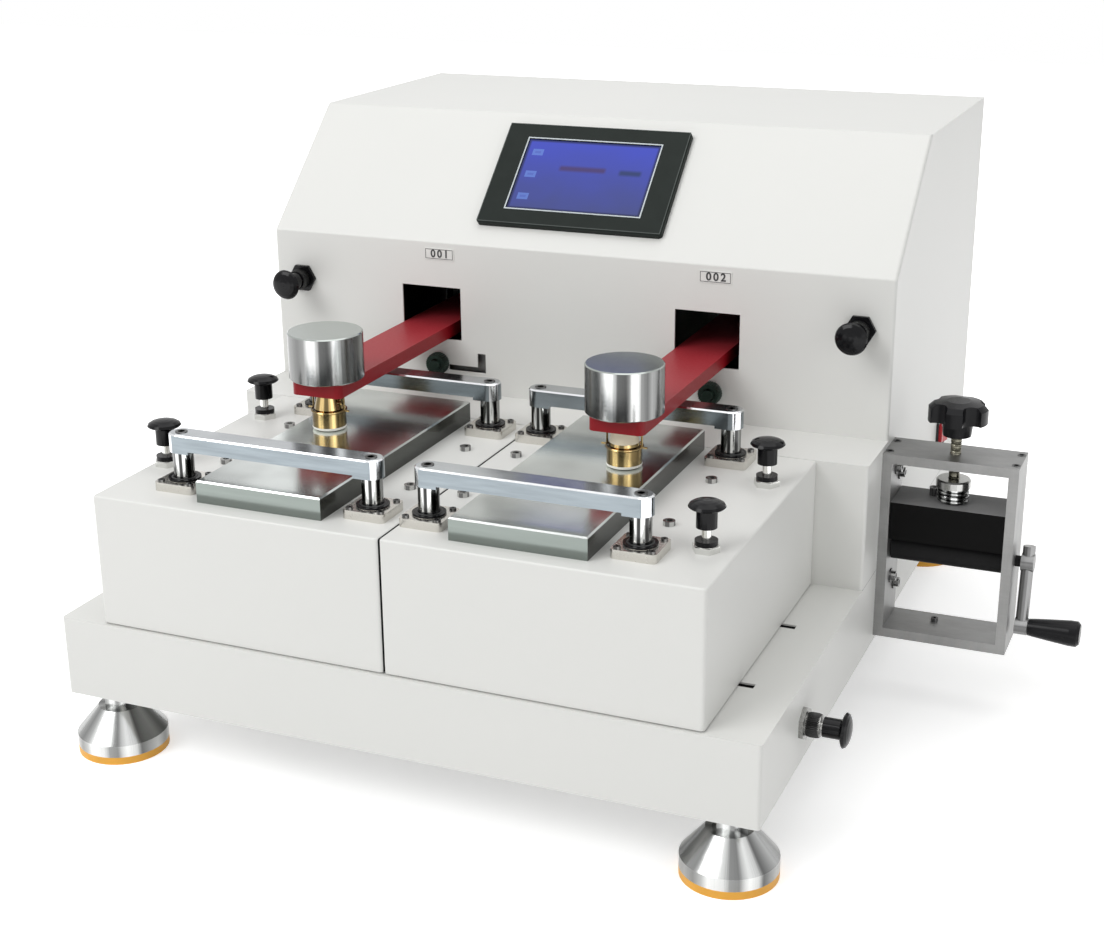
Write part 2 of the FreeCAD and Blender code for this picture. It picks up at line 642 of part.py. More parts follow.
def cabinet():
    """The bent sheet housing: shelf, front wall, sloping panel, top and two side walls."""
    shell = Piece("cabinet_shell", (MID, FRONT, BASE_TOP))
    shell.pad("YZ", [cabinet_side("0")], "base_width", both=True)
    shell.fillet(
        lambda middle, run, edge: abs(run.y) < 0.99
        and abs(abs(middle.x) - measure("base_width / 2")) < 0.01
        and middle.z > 0.01
        and abs(middle.y - measure("base_depth")) > 0.01
        or abs(run.x) > 0.99
        and middle.z > measure("stage_height") + 0.01
        and abs(middle.y - measure("base_depth")) > 0.01,
        "sheet_bend",
    )
    shell.pocket("YZ", [cabinet_side("sheet_wall")], "base_width - 2 * sheet_wall", both=True)
    sill = "stage_height + arm_rise - window_drop"
    middle_z = sill + " + window_height / 2"
    for sign in "-+":
        hole = rectangle("0 %s window_pitch / 2" % sign, middle_z, "window_width", "window_height")
        shell.pocket("XZ", [hole], "sheet_wall + 2", lift="-front_line - sheet_wall - 1", back=True)
    slot_left = "-lever_slot_x - lever_slot_width / 2"
    slot_right = "-lever_slot_x + lever_slot_width / 2"
    low = "stage_height + lever_slot_low"
    slot = [
        (slot_left + " - lever_slot_run", low),
        (slot_right, low),
        (slot_right, low + " + lever_slot_rise"),
        (slot_left, low + " + lever_slot_rise"),
        (slot_left, low + " + lever_slot_leg"),
        (slot_left + " - lever_slot_run", low + " + lever_slot_leg"),
    ]
    shell.pocket("XZ", [slot], "sheet_wall + 2", lift="-front_line - sheet_wall - 1", back=True)
    holes = []
    for sign in "-+":
        across = "0 %s (base_width / 2 - front_plunger_inset)" % sign
        holes.append((across, "front_plunger_rise", "plunger_thread + stud_play"))
    shell.pocket("XZ", holes, "sheet_wall + 2", lift="-front_line - sheet_wall - 1", back=True)
    long, tall = "switch_length - switch_frame * 2", "switch_tall - switch_frame * 2"
    switch = rectangle("switch_line", "switch_rise", long, tall)
    shell.pocket("YZ", [switch], "sheet_wall + 2", lift="base_width / 2 - sheet_wall - 1", back=True)
    window = Piece("panel_window")
    wide, tall = "panel_box_width + 2 * panel_play", "panel_box_tall + 2 * panel_play"
    window.pad("XY", [rectangle("0", "0", wide, tall)], "40", both=True)
    slope_place(window.body, "panel_up", "0")
    return cut("cabinet", shell.body, window.body)


def slope_place(thing, up, out):
    """Stands a piece on the slope: its X is the machine's X and its Z points out of the slope."""
    rotation = FreeCAD.Rotation(FreeCAD.Vector(1, 0, 0), measure(SLOPE_ANGLE))
    thing.Placement = FreeCAD.Placement(FreeCAD.Vector(), rotation)
    thing.setExpression(".Placement.Rotation.Angle", bound(SLOPE_ANGLE))
    thing.setExpression(".Placement.Base.x", bound(MID + " + panel_x"))
    y = FRONT + " + front_line + (%s) * cos(%s) - (%s) * sin(%s)" % (up, SLOPE_ANGLE, out, SLOPE_ANGLE)
    z = BASE_TOP + " + slope_rise + (%s) * sin(%s) + (%s) * cos(%s)" % (up, SLOPE_ANGLE, out, SLOPE_ANGLE)
    thing.setExpression(".Placement.Base.y", bound(y))
    thing.setExpression(".Placement.Base.z", bound(z))
    return thing


def operator_panel():
    """Bezel with its body behind the sheet, and a recess for the screen glass."""
    bezel = Piece("bezel")
    bezel.pad("XY", [rectangle("0", "0", "panel_width", "panel_tall")], "panel_thick")
    bezel.fillet(upright, "panel_corner")
    bezel.chamfer(lambda middle, run, edge: middle.z > measure("panel_thick") - 0.01, "1")
    box = rectangle("0", "0", "panel_box_width", "panel_box_tall")
    bezel.pad("XY", [box], "panel_box_deep", back=True)
    glass = rectangle("0", "0", "screen_width + 2 * screen_play", "screen_tall + 2 * screen_play")
    bezel.pocket("XY", [glass], "screen_thick + screen_sink", lift="panel_thick")
    slope_place(bezel.body, "panel_up", "0")
    screen = Piece("screen_glass")
    screen.pad("XY", [rectangle("0", "0", "screen_width", "screen_tall")], "screen_thick")
    slope_place(screen.body, "panel_up", "panel_thick - screen_sink - screen_thick")
    return bezel, screen


def rear_panel():
    """Rear cover with two fields of vent slots and the mains inlet's cut-out."""
    width = "base_width - 2 * sheet_wall - 2 * panel_play"
    tall = "cabinet_height - sheet_wall - panel_play"
    panel = Piece("rear_sheet", (MID, "base_depth / 2 - rear_inset", BASE_TOP))
    panel.pad("XZ", [rectangle("0", "(%s) / 2" % tall, width, tall)], "sheet_wall")
    for sign in "-+":
        slots = []
        for step in range(int(measure("vent_count"))):
            z = "vent_rise + %d * vent_pitch" % step
            slots.append(rectangle("0 %s vent_shift" % sign, z, "vent_length", "vent_slot"))
        panel.pocket("XZ", slots, "2 * sheet_wall + 2", both=True, lift="sheet_wall / 2")
    wide, tall = "inlet_width + 0.4", "inlet_height + 0.4"
    hole = rectangle("base_width / 2 - inlet_inset", "inlet_rise", wide, tall)
    panel.pocket("XZ", [hole], "2 * sheet_wall + 2", both=True, lift="sheet_wall / 2")
    return panel


def power_inlet():
    """Mains inlet: flange outside the rear panel, body through it, three contact pins."""
    across = MID + " + base_width / 2 - inlet_inset"
    inlet = Piece("inlet", (across, "base_depth / 2 - rear_inset", BASE_TOP + " + inlet_rise"))
    flange = rectangle("0", "0", "inlet_flange_width", "inlet_flange_height")
    inlet.pad("XZ", [flange], "inlet_flange", back=True)
    inlet.pad("XZ", [rectangle("0", "0", "inlet_width", "inlet_height")], "inlet_depth")
    mouth = rectangle("0", "0", "inlet_width - 4", "inlet_height - 5")
    inlet.pocket("XZ", [mouth], "inlet_depth - 3", lift="-inlet_flange", back=True)
    pins = [rectangle(x, z, "2", "4") for x, z in (("-7", "-1"), ("0", "2"), ("7", "-1"))]
    inlet.pad("XZ", pins, "inlet_depth - 8", lift="inlet_depth - inlet_flange - 3", back=True)
    return inlet


keep("cabinet", cabinet())
bezel, screen = operator_panel()
keep("hmi_bezel", bezel)
keep("hmi_screen", screen)
keep("rear_panel", rear_panel())
keep("power_inlet", power_inlet())


# Spring plungers

def plunger_sleeve(name, at, turn, kind):
    """Nut and threaded barrel that hold a plunger's pin."""
    height = kind + "_nut_height"
    top = "%s + %s_barrel_length" % (height, kind)
    sleeve = Piece(name, at, turn)
    sleeve.revolve(
        [
            ("plunger_pin + pin_play", "-plunger_thread_length"),
            ("plunger_thread", "-plunger_thread_length"),
            ("plunger_thread", "0"),
            ("plunger_barrel", "0"),
            ("plunger_barrel", top),
            ("plunger_pin + pin_play", top),
        ]
    )
    nut = [hexagon(kind + "_nut"), ("0", "0", "plunger_barrel - 1")]
    sleeve.pad("XY", nut, height)
    return sleeve.body


def plunger_knob(name, at, turn, kind):
    """Pull knob with a neck and a flat domed cap, on a steel pin."""
    neck = "%s_nut_height + %s_barrel_length + %s_pin_gap" % (kind, kind, kind)
    cap = neck + " + plunger_grip_length"
    brim = cap + " + plunger_flare + plunger_brim"
    outline = [
        ("plunger_pin", neck),
        ("plunger_grip", neck),
        ("plunger_grip", cap),
        ("plunger_cap - plunger_brim", cap + " + plunger_flare"),
        ("plunger_cap", brim),
    ]
    for angle in (22, 42, 60, 76):
        radius = "plunger_cap * cos(%d)" % angle
        outline.append((radius, brim + " + plunger_dome * sin(%d)" % angle))
    outline += [("0", brim + " + plunger_dome"), ("0", cap), ("plunger_pin", cap)]
    knob = Piece(name + "_grip", at, turn)
    knob.revolve(outline)
    inside = "(plunger_thread_length + plunger_tip)"
    pin = rod(name + "_pin", "plunger_pin", cap + " + " + inside, at, turn)
    letter = turn[1]
    sign = "-" if turn[0] == "+" else "+"
    text = at["xyz".index(letter)] + " " + sign + " " + inside
    pin.setExpression(".Placement.Base." + letter, bound(text))
    return group(name, knob.body, pin)


STAGE_PLUNGERS = [
    ("plunger_left_front", "left", "left_front"),
    ("plunger_left_rear", "left", "left_rear"),
    ("plunger_right_front", "right", "right_front"),
    ("plunger_right_rear", "right", "right_rear"),
]


def stage_left_edge(side):
    middle = MID + " + stage_shift"
    if side == "left":
        return middle + " - stage_split / 2 - stage_width"
    return middle + " + stage_split / 2"


def stage_plunger_spot(corner):
    if corner.startswith("left"):
        x = stage_left_edge("left") + " + " + corner + "_plunger_x"
    else:
        x = stage_left_edge("right") + " + stage_width - " + corner + "_plunger_x"
    return (x, FRONT + " + " + corner + "_plunger_y", STAGE_TOP)


for node, side, corner in STAGE_PLUNGERS:
    keep(node, plunger_knob(node, stage_plunger_spot(corner), "+z", "stage"))
sleeves = []
for side, sign in (("left", "-"), ("right", "+")):
    front_at = (
        MID + " %s (base_width / 2 - front_plunger_inset)" % sign,
        FRONT + " + front_line",
        BASE_TOP + " + front_plunger_rise",
    )
    side_at = (MID + " %s base_width / 2" % sign, PLUNGER_Y, PLUNGER_Z)
    sleeves.append(plunger_sleeve("front_sleeve_" + side, front_at, "-y", "side"))
    sleeves.append(plunger_sleeve("side_sleeve_" + side, side_at, sign + "x", "side"))
    for word, at, turn in (("cabinet", front_at, "-y"), ("base", side_at, sign + "x")):
        node = "plunger_%s_%s" % (word, side)
        keep(node, plunger_knob(node, at, turn, "side"))
keep("frame_sleeves", group("frame_sleeves", *sleeves))


# Stages, tables and clamps

def station_x(side):
    return MID + " + station_shift %s station_pitch / 2" % ("-" if side == "left" else "+")


def post_spots(side):
    """The four clamp posts of a station, as name, x and y."""
    spots = []
    for end in ("front", "rear"):
        for hand, sign in (("a", "-"), ("b", "+")):
            x = station_x(side) + " %s post_pitch / 2" % sign
            spots.append((end, hand, x, FRONT + " + clamp_%s_line" % end))
    return spots


def stage_box(side):
    """Closed sheet metal box with guide keys below and holes for sleeves and plungers above."""
    low_x = stage_left_edge(side)
    low_y = FRONT + " + stage_front"
    outer = Piece("stage_outer_" + side, (low_x, low_y, BASE_TOP))
    outline = rectangle("stage_width / 2", "stage_depth / 2", "stage_width", "stage_depth")
    outer.pad("XY", [outline], "stage_height")
    outer.fillet(upright, "sheet_bend")
    outer.fillet(
        lambda middle, run, edge: middle.z > measure("stage_height") - 0.01,
        "sheet_bend * 0.6",
    )
    keys = []
    key_x = "stage_width - guide_key_edge - guide_key_length / 2"
    if side == "left":
        key_x = "guide_key_edge + guide_key_length / 2"
    for line in ("guide_slot_front", "guide_slot_rear"):
        keys.append(rectangle(key_x, line + " - stage_front", "guide_key_length", "guide_key"))
    outer.pad("XY", keys, "guide_key_depth", back=True)
    hollow = box(
        "stage_hollow_" + side,
        ("stage_width - 2 * sheet_wall", "stage_depth - 2 * sheet_wall", "stage_height - 2 * sheet_wall"),
        (low_x + " + sheet_wall", low_y + " + sheet_wall", BASE_TOP + " + sheet_wall"),
    )
    across = "stage_width - shadow_depth"
    rebates = (
        ("stage_width", "shadow_depth", low_x),
        ("shadow_depth", "stage_depth", low_x),
        ("shadow_depth", "stage_depth", low_x + " + " + across),
    )
    tools = [hollow]
    for wide, deep, x in rebates:
        tools.append(box("rebate_" + side, (wide, deep, "shadow_gap"), (x, low_y, BASE_TOP)))
    under = STAGE_TOP + " - sheet_wall - 1"
    for end, hand, x, y in post_spots(side):
        name = "sleeve_hole_%s_%s_%s" % (side, end, hand)
        tools.append(rod(name, "sleeve_radius + stud_play", "sheet_wall + 2", (x, y, under)))
    for node, where, corner in STAGE_PLUNGERS:
        if where == side:
            x, y, z = stage_plunger_spot(corner)
            hole = rod("hole_" + node, "plunger_thread + stud_play", "sheet_wall + 2", (x, y, under))
            tools.append(hole)
    return cut("stage_box_" + side, outer.body, *tools)


def clamp_flange(name, x, y):
    """Square flange, seal lip and guide sleeve with the post's bore."""
    piece = Piece(name, (x, y, STAGE_TOP))
    piece.pad("XY", [rectangle("0", "0", "flange_side", "flange_side")], "flange_thick")
    piece.fillet(upright, "flange_corner")
    piece.pad("XY", [("0", "0", "seal_radius")], "seal_height", lift="flange_thick")
    piece.pad("XY", [("0", "0", "sleeve_radius")], "sleeve_length", back=True)
    bore = "sleeve_length + flange_thick + seal_height"
    piece.pocket("XY", [("0", "0", "post_radius + post_play")], bore, lift="flange_thick + seal_height")
    return piece.body


def clamp_bar(name, x, y):
    """Round-ended bar, thicker at its ends, with a seat for each post."""
    piece = Piece(name, (x, y, BAR_LOW))
    half = "(bar_length / 2 - bar_depth / 2)"
    span = rectangle("0", "0", "2 * %s" % half, "bar_depth")
    piece.pad("XY", [span], "bar_thick")
    for sign in "-+":
        end = "0 %s %s" % (sign, half)
        piece.pad("XY", [(end, "0", "bar_depth / 2")], "bar_thick")
        middle = "0 %s (bar_length / 2 - bar_depth / 4 - bar_boss_length / 2)" % sign
        boss = rectangle(middle, "0", "bar_boss_length - bar_depth / 2", "bar_depth")
        piece.pad("XY", [boss], "bar_boss", back=True)
        piece.pad("XY", [(end, "0", "bar_depth / 2")], "bar_boss", back=True)
    piece.chamfer(lambda middle, run, edge: middle.z > measure("bar_thick") - 0.01, "bar_edge")
    seats = [("0 %s post_pitch / 2" % sign, "0", "post_radius + post_play") for sign in "-+"]
    piece.pocket("XY", seats, "post_seat", lift="-bar_boss", back=True)
    return piece.body


def clamp_posts(name, x, y):
    """Two posts and the tie that joins them inside the stage."""
    low = BAR_LOW + " - tie_drop"
    length = "tie_drop - bar_boss + post_seat"
    parts = []
    tie = Piece(name + "_tie", (x, y, low))
    tie.pad("XY", [rectangle("0", "0", "post_pitch + bar_depth", "bar_depth")], "tie_thick")
    holes = [("0 %s post_pitch / 2" % sign, "0", "post_radius + post_play") for sign in "-+"]
    tie.pocket("XY", holes, "tie_thick", lift="tie_thick")
    parts.append(tie.body)
    for sign in "-+":
        parts.append(rod(name + "_post", "post_radius", length, (x + " %s post_pitch / 2" % sign, y, low)))
    return group(name, *parts)


for side in ("left", "right"):
    keep("stage_box_" + side, stage_box(side))
    table = Piece("table_" + side, (station_x(side), FRONT + " + table_front", STAGE_TOP))
    table.pad("XY", [rectangle("0", "table_length / 2", "table_width", "table_length")], "table_thick")
    table.chamfer(lambda middle, run, edge: middle.z > measure("table_thick") - 0.01, "table_edge")
    keep("specimen_table_" + side, table)
    flanges = []
    for end, hand, x, y in post_spots(side):
        flanges.append(clamp_flange("flange_%s_%s_%s" % (side, end, hand), x, y))
    keep("clamp_flanges_" + side, group("clamp_flanges_" + side, *flanges))
    barrels = []
    for node, where, corner in STAGE_PLUNGERS:
        if where == side:
            barrels.append(plunger_sleeve("sleeve_" + node, stage_plunger_spot(corner), "+z", "stage"))
    keep("stage_sleeves_" + side, group("stage_sleeves_" + side, *barrels))
    for end in ("front", "rear"):
        line = FRONT + " + clamp_%s_line" % end
        word = "%s_%s" % (side, end)
        keep("clamp_bar_" + word, clamp_bar("bar_" + word, station_x(side), line))
        keep("clamp_posts_" + word, clamp_posts("posts_" + word, station_x(side), line))


# Rubbing arms and their carriages

def arm_x(side):
    return MID + " + arm_shift %s arm_pitch / 2" % ("-" if side == "left" else "+")


def arm(side):
    """Flat bar with rounded corners at the finger, a finger hole and a cross bore at the pivot."""
    length = "pivot_line - finger_line + finger_overhang + pivot_tail"
    piece = Piece("arm_bar_" + side, (arm_x(side), FRONT + " + finger_line - finger_overhang", ARM_LOW))
    piece.pad("XY", [rectangle("0", "(%s) / 2" % length, "arm_width", length)], "arm_thick")
    piece.fillet(lambda middle, run, edge: upright(middle, run, edge) and middle.y < 1, "arm_corner")
    piece.pocket("XY", [("0", "finger_overhang", "finger_stud + pin_play")], "arm_thick", lift="arm_thick")
    pivot = ("pivot_line - finger_line + finger_overhang", "arm_thick / 2", "pivot_pin + pin_play")
    piece.pocket("YZ", [pivot], "arm_width + 2", both=True)
    return piece


def weight(side):
    """Turned weight with chamfered rims and a bore for the finger's stud."""
    piece = Piece("weight_disc_" + side, (arm_x(side), FRONT + " + finger_line", ARM_LOW + " + arm_thick"))
    piece.revolve(
        [
            ("finger_stud + pin_play", "0"),
            ("weight_radius - weight_edge", "0"),
            ("weight_radius", "weight_edge"),
            ("weight_radius", "weight_height - weight_edge"),
            ("weight_radius - weight_edge", "weight_height"),
            ("0", "weight_height"),
            ("0", "finger_stud_length - arm_thick + 1"),
            ("finger_stud + pin_play", "finger_stud_length - arm_thick + 1"),
        ]
    )
    return piece


def finger(side):
    """Turned finger: nose, groove for the cloth ring, tapered neck and the stud above it."""
    tall = "(arm_rise - table_thick - finger_gap)"
    at = (arm_x(side), FRONT + " + finger_line", TABLE_TOP + " + finger_gap")
    piece = Piece("finger_turned_" + side, at)
    piece.revolve(
        [
            ("0", "0"),
            ("finger_radius - finger_edge", "0"),
            ("finger_radius", "finger_edge"),
            ("finger_radius", "finger_nose"),
            ("finger_shoulder", "finger_nose"),
            ("finger_shoulder", "finger_nose + finger_groove"),
            ("finger_neck", tall),
            ("finger_stud", tall),
            ("finger_stud", tall + " + finger_stud_length"),
            ("0", tall + " + finger_stud_length"),
        ]
    )
    return piece


def cloth_clip(side):
    """Wire ring in the finger's groove, with two ears and two uprights under the arm."""
    ring = "(finger_shoulder + ring_play + ring_wire)"
    level = TABLE_TOP + " + finger_gap + finger_nose + finger_groove / 2"
    y = FRONT + " + finger_line"
    hoop = doc.addObject("Part::Torus", "ring_" + side)
    hoop.setExpression("Radius1", bound(ring))
    hoop.setExpression("Radius2", "Sizes.ring_wire")
    place(hoop, (arm_x(side), y, level))
    parts = [hoop]
    for sign in "-+":
        at = (arm_x(side) + " %s %s" % (sign, ring), y, level)
        parts.append(rod("ear_%s" % side, "ring_end", "ring_ear", at, sign + "x"))
        top = "arm_rise - table_thick - finger_gap - finger_nose - finger_groove / 2"
        parts.append(rod("upright_%s" % side, "ring_end", top, at))
    return fuse("cloth_clip_" + side, *parts)


def carriage(side):
    """Slide block on two rods, with ears that carry the arm's pivot pin."""
    wide = "(arm_width + 2 * ear_play + 2 * ear_thick)"
    low = ROD_Z + " - carriage_height / 2"
    ear_top = "arm_rise + arm_thick / 2 + stage_height - rod_rise + carriage_height / 2 + ear_rim"
    middle = FRONT + " + pivot_line"
    piece = Piece("carriage_block_" + side, (arm_x(side), middle, low))
    piece.pad("XY", [rectangle("0", "0", "carriage_width", "carriage_length")], "carriage_height")
    piece.chamfer(lambda middle, run, edge: abs(run.z) > 0.99, "2")
    ears = []
    for sign in "-+":
        x = "0 %s (arm_width / 2 + ear_play + ear_thick / 2)" % sign
        ears.append(rectangle(x, "0", "ear_thick", "ear_length"))
    piece.pad("XY", ears, "%s - carriage_height" % ear_top, lift="carriage_height")
    bore = ("carriage_height / 2", "rod_radius + rod_play")
    bores = [("0 %s rod_pitch / 2" % sign, *bore) for sign in "-+"]
    piece.pocket("XZ", bores, "carriage_length + 2", both=True)
    hole = ("0", "%s - ear_rim" % ear_top, "pivot_pin + pin_play")
    piece.pocket("YZ", [hole], wide + " + 2", both=True)
    pin_at = (arm_x(side) + " - %s / 2" % wide, middle, ARM_MID)
    pin = rod("pivot_pin_" + side, "pivot_pin", wide, pin_at, "+x")
    return group("carriage_" + side, piece.body, pin)


def bracket(name, line):
    """Cross plate with a foot on the base and holes for the four rods."""
    wide = "arm_pitch + 2 * bracket_side"
    tall = "rod_rise + bracket_rim"
    piece = Piece(name, (MID + " + arm_shift", FRONT + " + " + line, BASE_TOP))
    side_view = [
        ("0", "0"),
        ("bracket_foot", "0"),
        ("bracket_foot", "4"),
        ("bracket_thick", "4"),
        ("bracket_thick", tall),
        ("0", tall),
    ]
    piece.pad("YZ", [side_view], wide, both=True)
    holes = []
    for sign in "-+":
        for hand in "-+":
            x = "0 %s arm_pitch / 2 %s rod_pitch / 2" % (sign, hand)
            holes.append((x, "rod_rise", "rod_radius + rod_play"))
    piece.pocket("XZ", holes, "4 * bracket_foot", both=True)
    return piece.body


rods = []
for side in ("left", "right"):
    keep("arm_" + side, arm(side))
    keep("weight_" + side, weight(side))
    keep("finger_" + side, finger(side))
    keep("cloth_clip_" + side, cloth_clip(side))
    keep("carriage_" + side, carriage(side))
    for sign in "-+":
        at = (arm_x(side) + " %s rod_pitch / 2" % sign, FRONT + " + bracket_front", ROD_Z)
        reach = "bracket_rear - bracket_front + bracket_thick"
        rods.append(rod("guide_rod_" + side, "rod_radius", reach, at, "+y"))
keep("guide_rods", group("guide_rods", *rods))
brackets = [bracket("bracket_" + line, "bracket_" + line) for line in ("front", "rear")]
keep("slide_brackets", group("slide_brackets", *brackets))


# Rocker switch on the right side wall

def switch_frame():
    """Frame with its body through the side wall, open for the rocker."""
    piece = Piece("switch_case", (SIDE, FRONT + " + switch_line", BASE_TOP + " + switch_rise"))
    piece.pad("YZ", [rectangle("0", "0", "switch_length", "switch_tall")], "switch_stand")
    piece.fillet(lambda middle, run, edge: abs(run.x) > 0.99, "2")
    body = rectangle("0", "0", "switch_length - 2 * switch_lip", "switch_tall - 2 * switch_lip")
    piece.pad("YZ", [body], "switch_body", back=True)
    hole = rectangle("0", "0", "switch_length - 4 * switch_frame", "switch_tall - 4 * switch_frame")
    mouth = rectangle("0", "0", "switch_length - 2 * switch_frame", "switch_tall - 2 * switch_frame")
    piece.pocket("YZ", [mouth], "switch_stand * 0.6", lift="switch_stand")
    piece.pocket("YZ", [hole], "switch_stand + switch_well", lift="switch_stand")
    return piece


def rocker():
    """Rocker with a hollow face, tipping about an upright axis."""
    piece = Piece("rocker_key", (SIDE, FRONT + " + switch_line", BASE_TOP + " + switch_rise"))
    half = "(switch_length / 2 - 2 * switch_frame - rocker_play)"
    side_view = [
        ("rocker_stand", "-" + half),
        ("rocker_stand * 0.45", "-%s * 0.4" % half),
        ("rocker_stand * 0.45", "%s * 0.4" % half),
        ("rocker_stand", half),
        ("-2", half),
        ("-5", "0"),
        ("-2", "-" + half),
    ]
    tall = "switch_tall - 4 * switch_frame - 2 * rocker_play"
    piece.pad("XY", [side_view], tall, both=True)
    return piece


keep("switch_frame", switch_frame())
keep("switch_rocker", rocker())


# Wringer

def wringer_frame():
    """Four flat bars: the upper and lower ones lie across the ends of the two uprights."""
    y = ROLLER_Y + " - wringer_depth / 2"
    flat = ("wringer_width", "wringer_depth", "wringer_bar")
    tall = ("wringer_bar", "wringer_depth", "wringer_height - 2 * wringer_bar")
    low = box("lower_bar", flat, (SIDE, y, WRINGER_Z))
    top = box("upper_bar", flat, (SIDE, y, WRINGER_TOP + " - wringer_bar"))
    hole_at = (SCREW_X, ROLLER_Y, WRINGER_TOP + " - wringer_bar - 1")
    hole = rod("screw_hole", "screw_radius + screw_play", "wringer_bar + 2", hole_at)
    top = cut("wringer_top_bar", top, hole)
    uprights = []
    for name, x in (("inner", SIDE), ("outer", SIDE + " + wringer_width - wringer_bar")):
        bar = box("upright_bar_" + name, tall, (x, y, WRINGER_Z + " + wringer_bar"))
        bore_at = (x + " - 1", ROLLER_Y, ROLLER_LOW)
        bore = rod("journal_bore_" + name, "journal_radius + journal_play", "wringer_bar + 2", bore_at, "+x")
        uprights.append(cut("wringer_side_" + name, bar, bore))
    return low, top, uprights


def lower_roller():
    """Rubber-covered roller on a through shaft that carries the crank."""
    start = "1"
    face = "wringer_bar + roller_play"
    end = "wringer_width - wringer_bar - roller_play"
    piece = Piece("roller_low_turned", (SIDE, ROLLER_Y, ROLLER_LOW), "+x")
    piece.revolve(
        [
            ("0", start),
            ("journal_radius", start),
            ("journal_radius", face),
            ("roller_radius", face),
            ("roller_radius", end),
            ("journal_radius", end),
            ("journal_radius", "wringer_width + crank_stub"),
            ("0", "wringer_width + crank_stub"),
        ]
    )
    return piece


def upper_roller():
    """Roller whose journals run in the cheeks of the pressure plate."""
    cheek = "wringer_bar + plate_play"
    face = cheek + " + cheek_thick + roller_play"
    piece = Piece("roller_high_turned", (SIDE, ROLLER_Y, ROLLER_HIGH), "+x")
    piece.revolve(
        [
            ("0", cheek + " + 0.5"),
            ("journal_radius", cheek + " + 0.5"),
            ("journal_radius", face),
            ("roller_radius", face),
            ("roller_radius", "wringer_width - (%s)" % face),
            ("journal_radius", "wringer_width - (%s)" % face),
            ("journal_radius", "wringer_width - (%s) - 0.5" % cheek),
            ("0", "wringer_width - (%s) - 0.5" % cheek),
        ]
    )
    return piece


def pressure_plate():
    """Plate between the uprights, with cheeks for the upper roller and skirts that cover it."""
    wide = "(wringer_width - 2 * wringer_bar - 2 * plate_play)"
    drop = "(roller_radius + plate_rise + cheek_drop)"
    piece = Piece("plate_body", (SCREW_X, ROLLER_Y, PLATE_TOP))
    outline = [
        ("-%s / 2" % wide, "-plate_thick - %s" % drop),
        ("-%s / 2 + cheek_thick" % wide, "-plate_thick - %s" % drop),
        ("-%s / 2 + cheek_thick" % wide, "-plate_thick"),
        ("%s / 2 - cheek_thick" % wide, "-plate_thick"),
        ("%s / 2 - cheek_thick" % wide, "-plate_thick - %s" % drop),
        ("%s / 2" % wide, "-plate_thick - %s" % drop),
        ("%s / 2" % wide, "0"),
        ("-%s / 2" % wide, "0"),
    ]
    piece.pad("XZ", [outline], "plate_depth", both=True)
    edge = "(plate_depth / 2 - skirt_thick / 2)"
    skirts = [rectangle("0", "0 %s %s" % (sign, edge), wide, "skirt_thick") for sign in "-+"]
    piece.pad("XY", skirts, drop, lift="-plate_thick", back=True)
    bore = ("0", "-plate_thick - plate_rise - roller_radius", "journal_radius + journal_play")
    piece.pocket("YZ", [bore], wide + " + 2", both=True)
    return piece


def star_knob():
    """Star grip: hub below, five-lobed head above, blind socket for the screw."""
    piece = Piece("star_turned", (SCREW_X, ROLLER_Y, KNOB_LOW))
    top = "knob_hub_height + knob_height"
    piece.revolve(
        [
            ("screw_radius + screw_play", "0"),
            ("knob_hub", "0"),
            ("knob_hub + 1", "knob_hub_height"),
            ("knob_radius", "knob_hub_height"),
            ("knob_radius", top + " - 2 * knob_dome"),
            ("knob_radius - 1.5 * knob_dome", top + " - 0.6 * knob_dome"),
            ("knob_radius * 0.4", top),
            ("0", top),
            ("0", "knob_socket"),
            ("screw_radius + screw_play", "knob_socket"),
        ]
    )
    lobes = 5
    reach = "(knob_valley + knob_hollow)"
    hollows = []
    for n in range(lobes):
        angle = "%g" % (360.0 / lobes * n + 20)
        hollows.append((reach + " * cos(%s)" % angle, reach + " * sin(%s)" % angle, "knob_hollow"))
    piece.pocket("XY", hollows, "knob_height + 1", lift="knob_hub_height", back=True)
    return piece


def spring_cup():
    """Collar on the screw whose rim reaches over the spring."""
    piece = Piece("cup_turned", (SCREW_X, ROLLER_Y, CUP_LOW))
    piece.revolve(
        [
            ("spring_radius + spring_play", "0"),
            ("cup_radius + 0.8", "0"),
            ("cup_radius + 0.8", "cup_height - 1"),
            ("cup_radius - 0.2", "cup_height"),
            ("screw_radius + screw_play", "cup_height"),
            ("screw_radius + screw_play", "cup_rim"),
            ("spring_radius + spring_play", "cup_rim"),
        ]
    )
    return piece


def press_spring():
    """The pressure spring as a plain sleeve of its outer size."""
    piece = Piece("spring_sleeve", (SCREW_X, ROLLER_Y, PLATE_TOP))
    piece.revolve(
        [
            ("spring_radius - spring_wire", "0"),
            ("spring_radius", "0"),
            ("spring_radius", "spring_height"),
            ("spring_radius - spring_wire", "spring_height"),
        ]
    )
    return piece


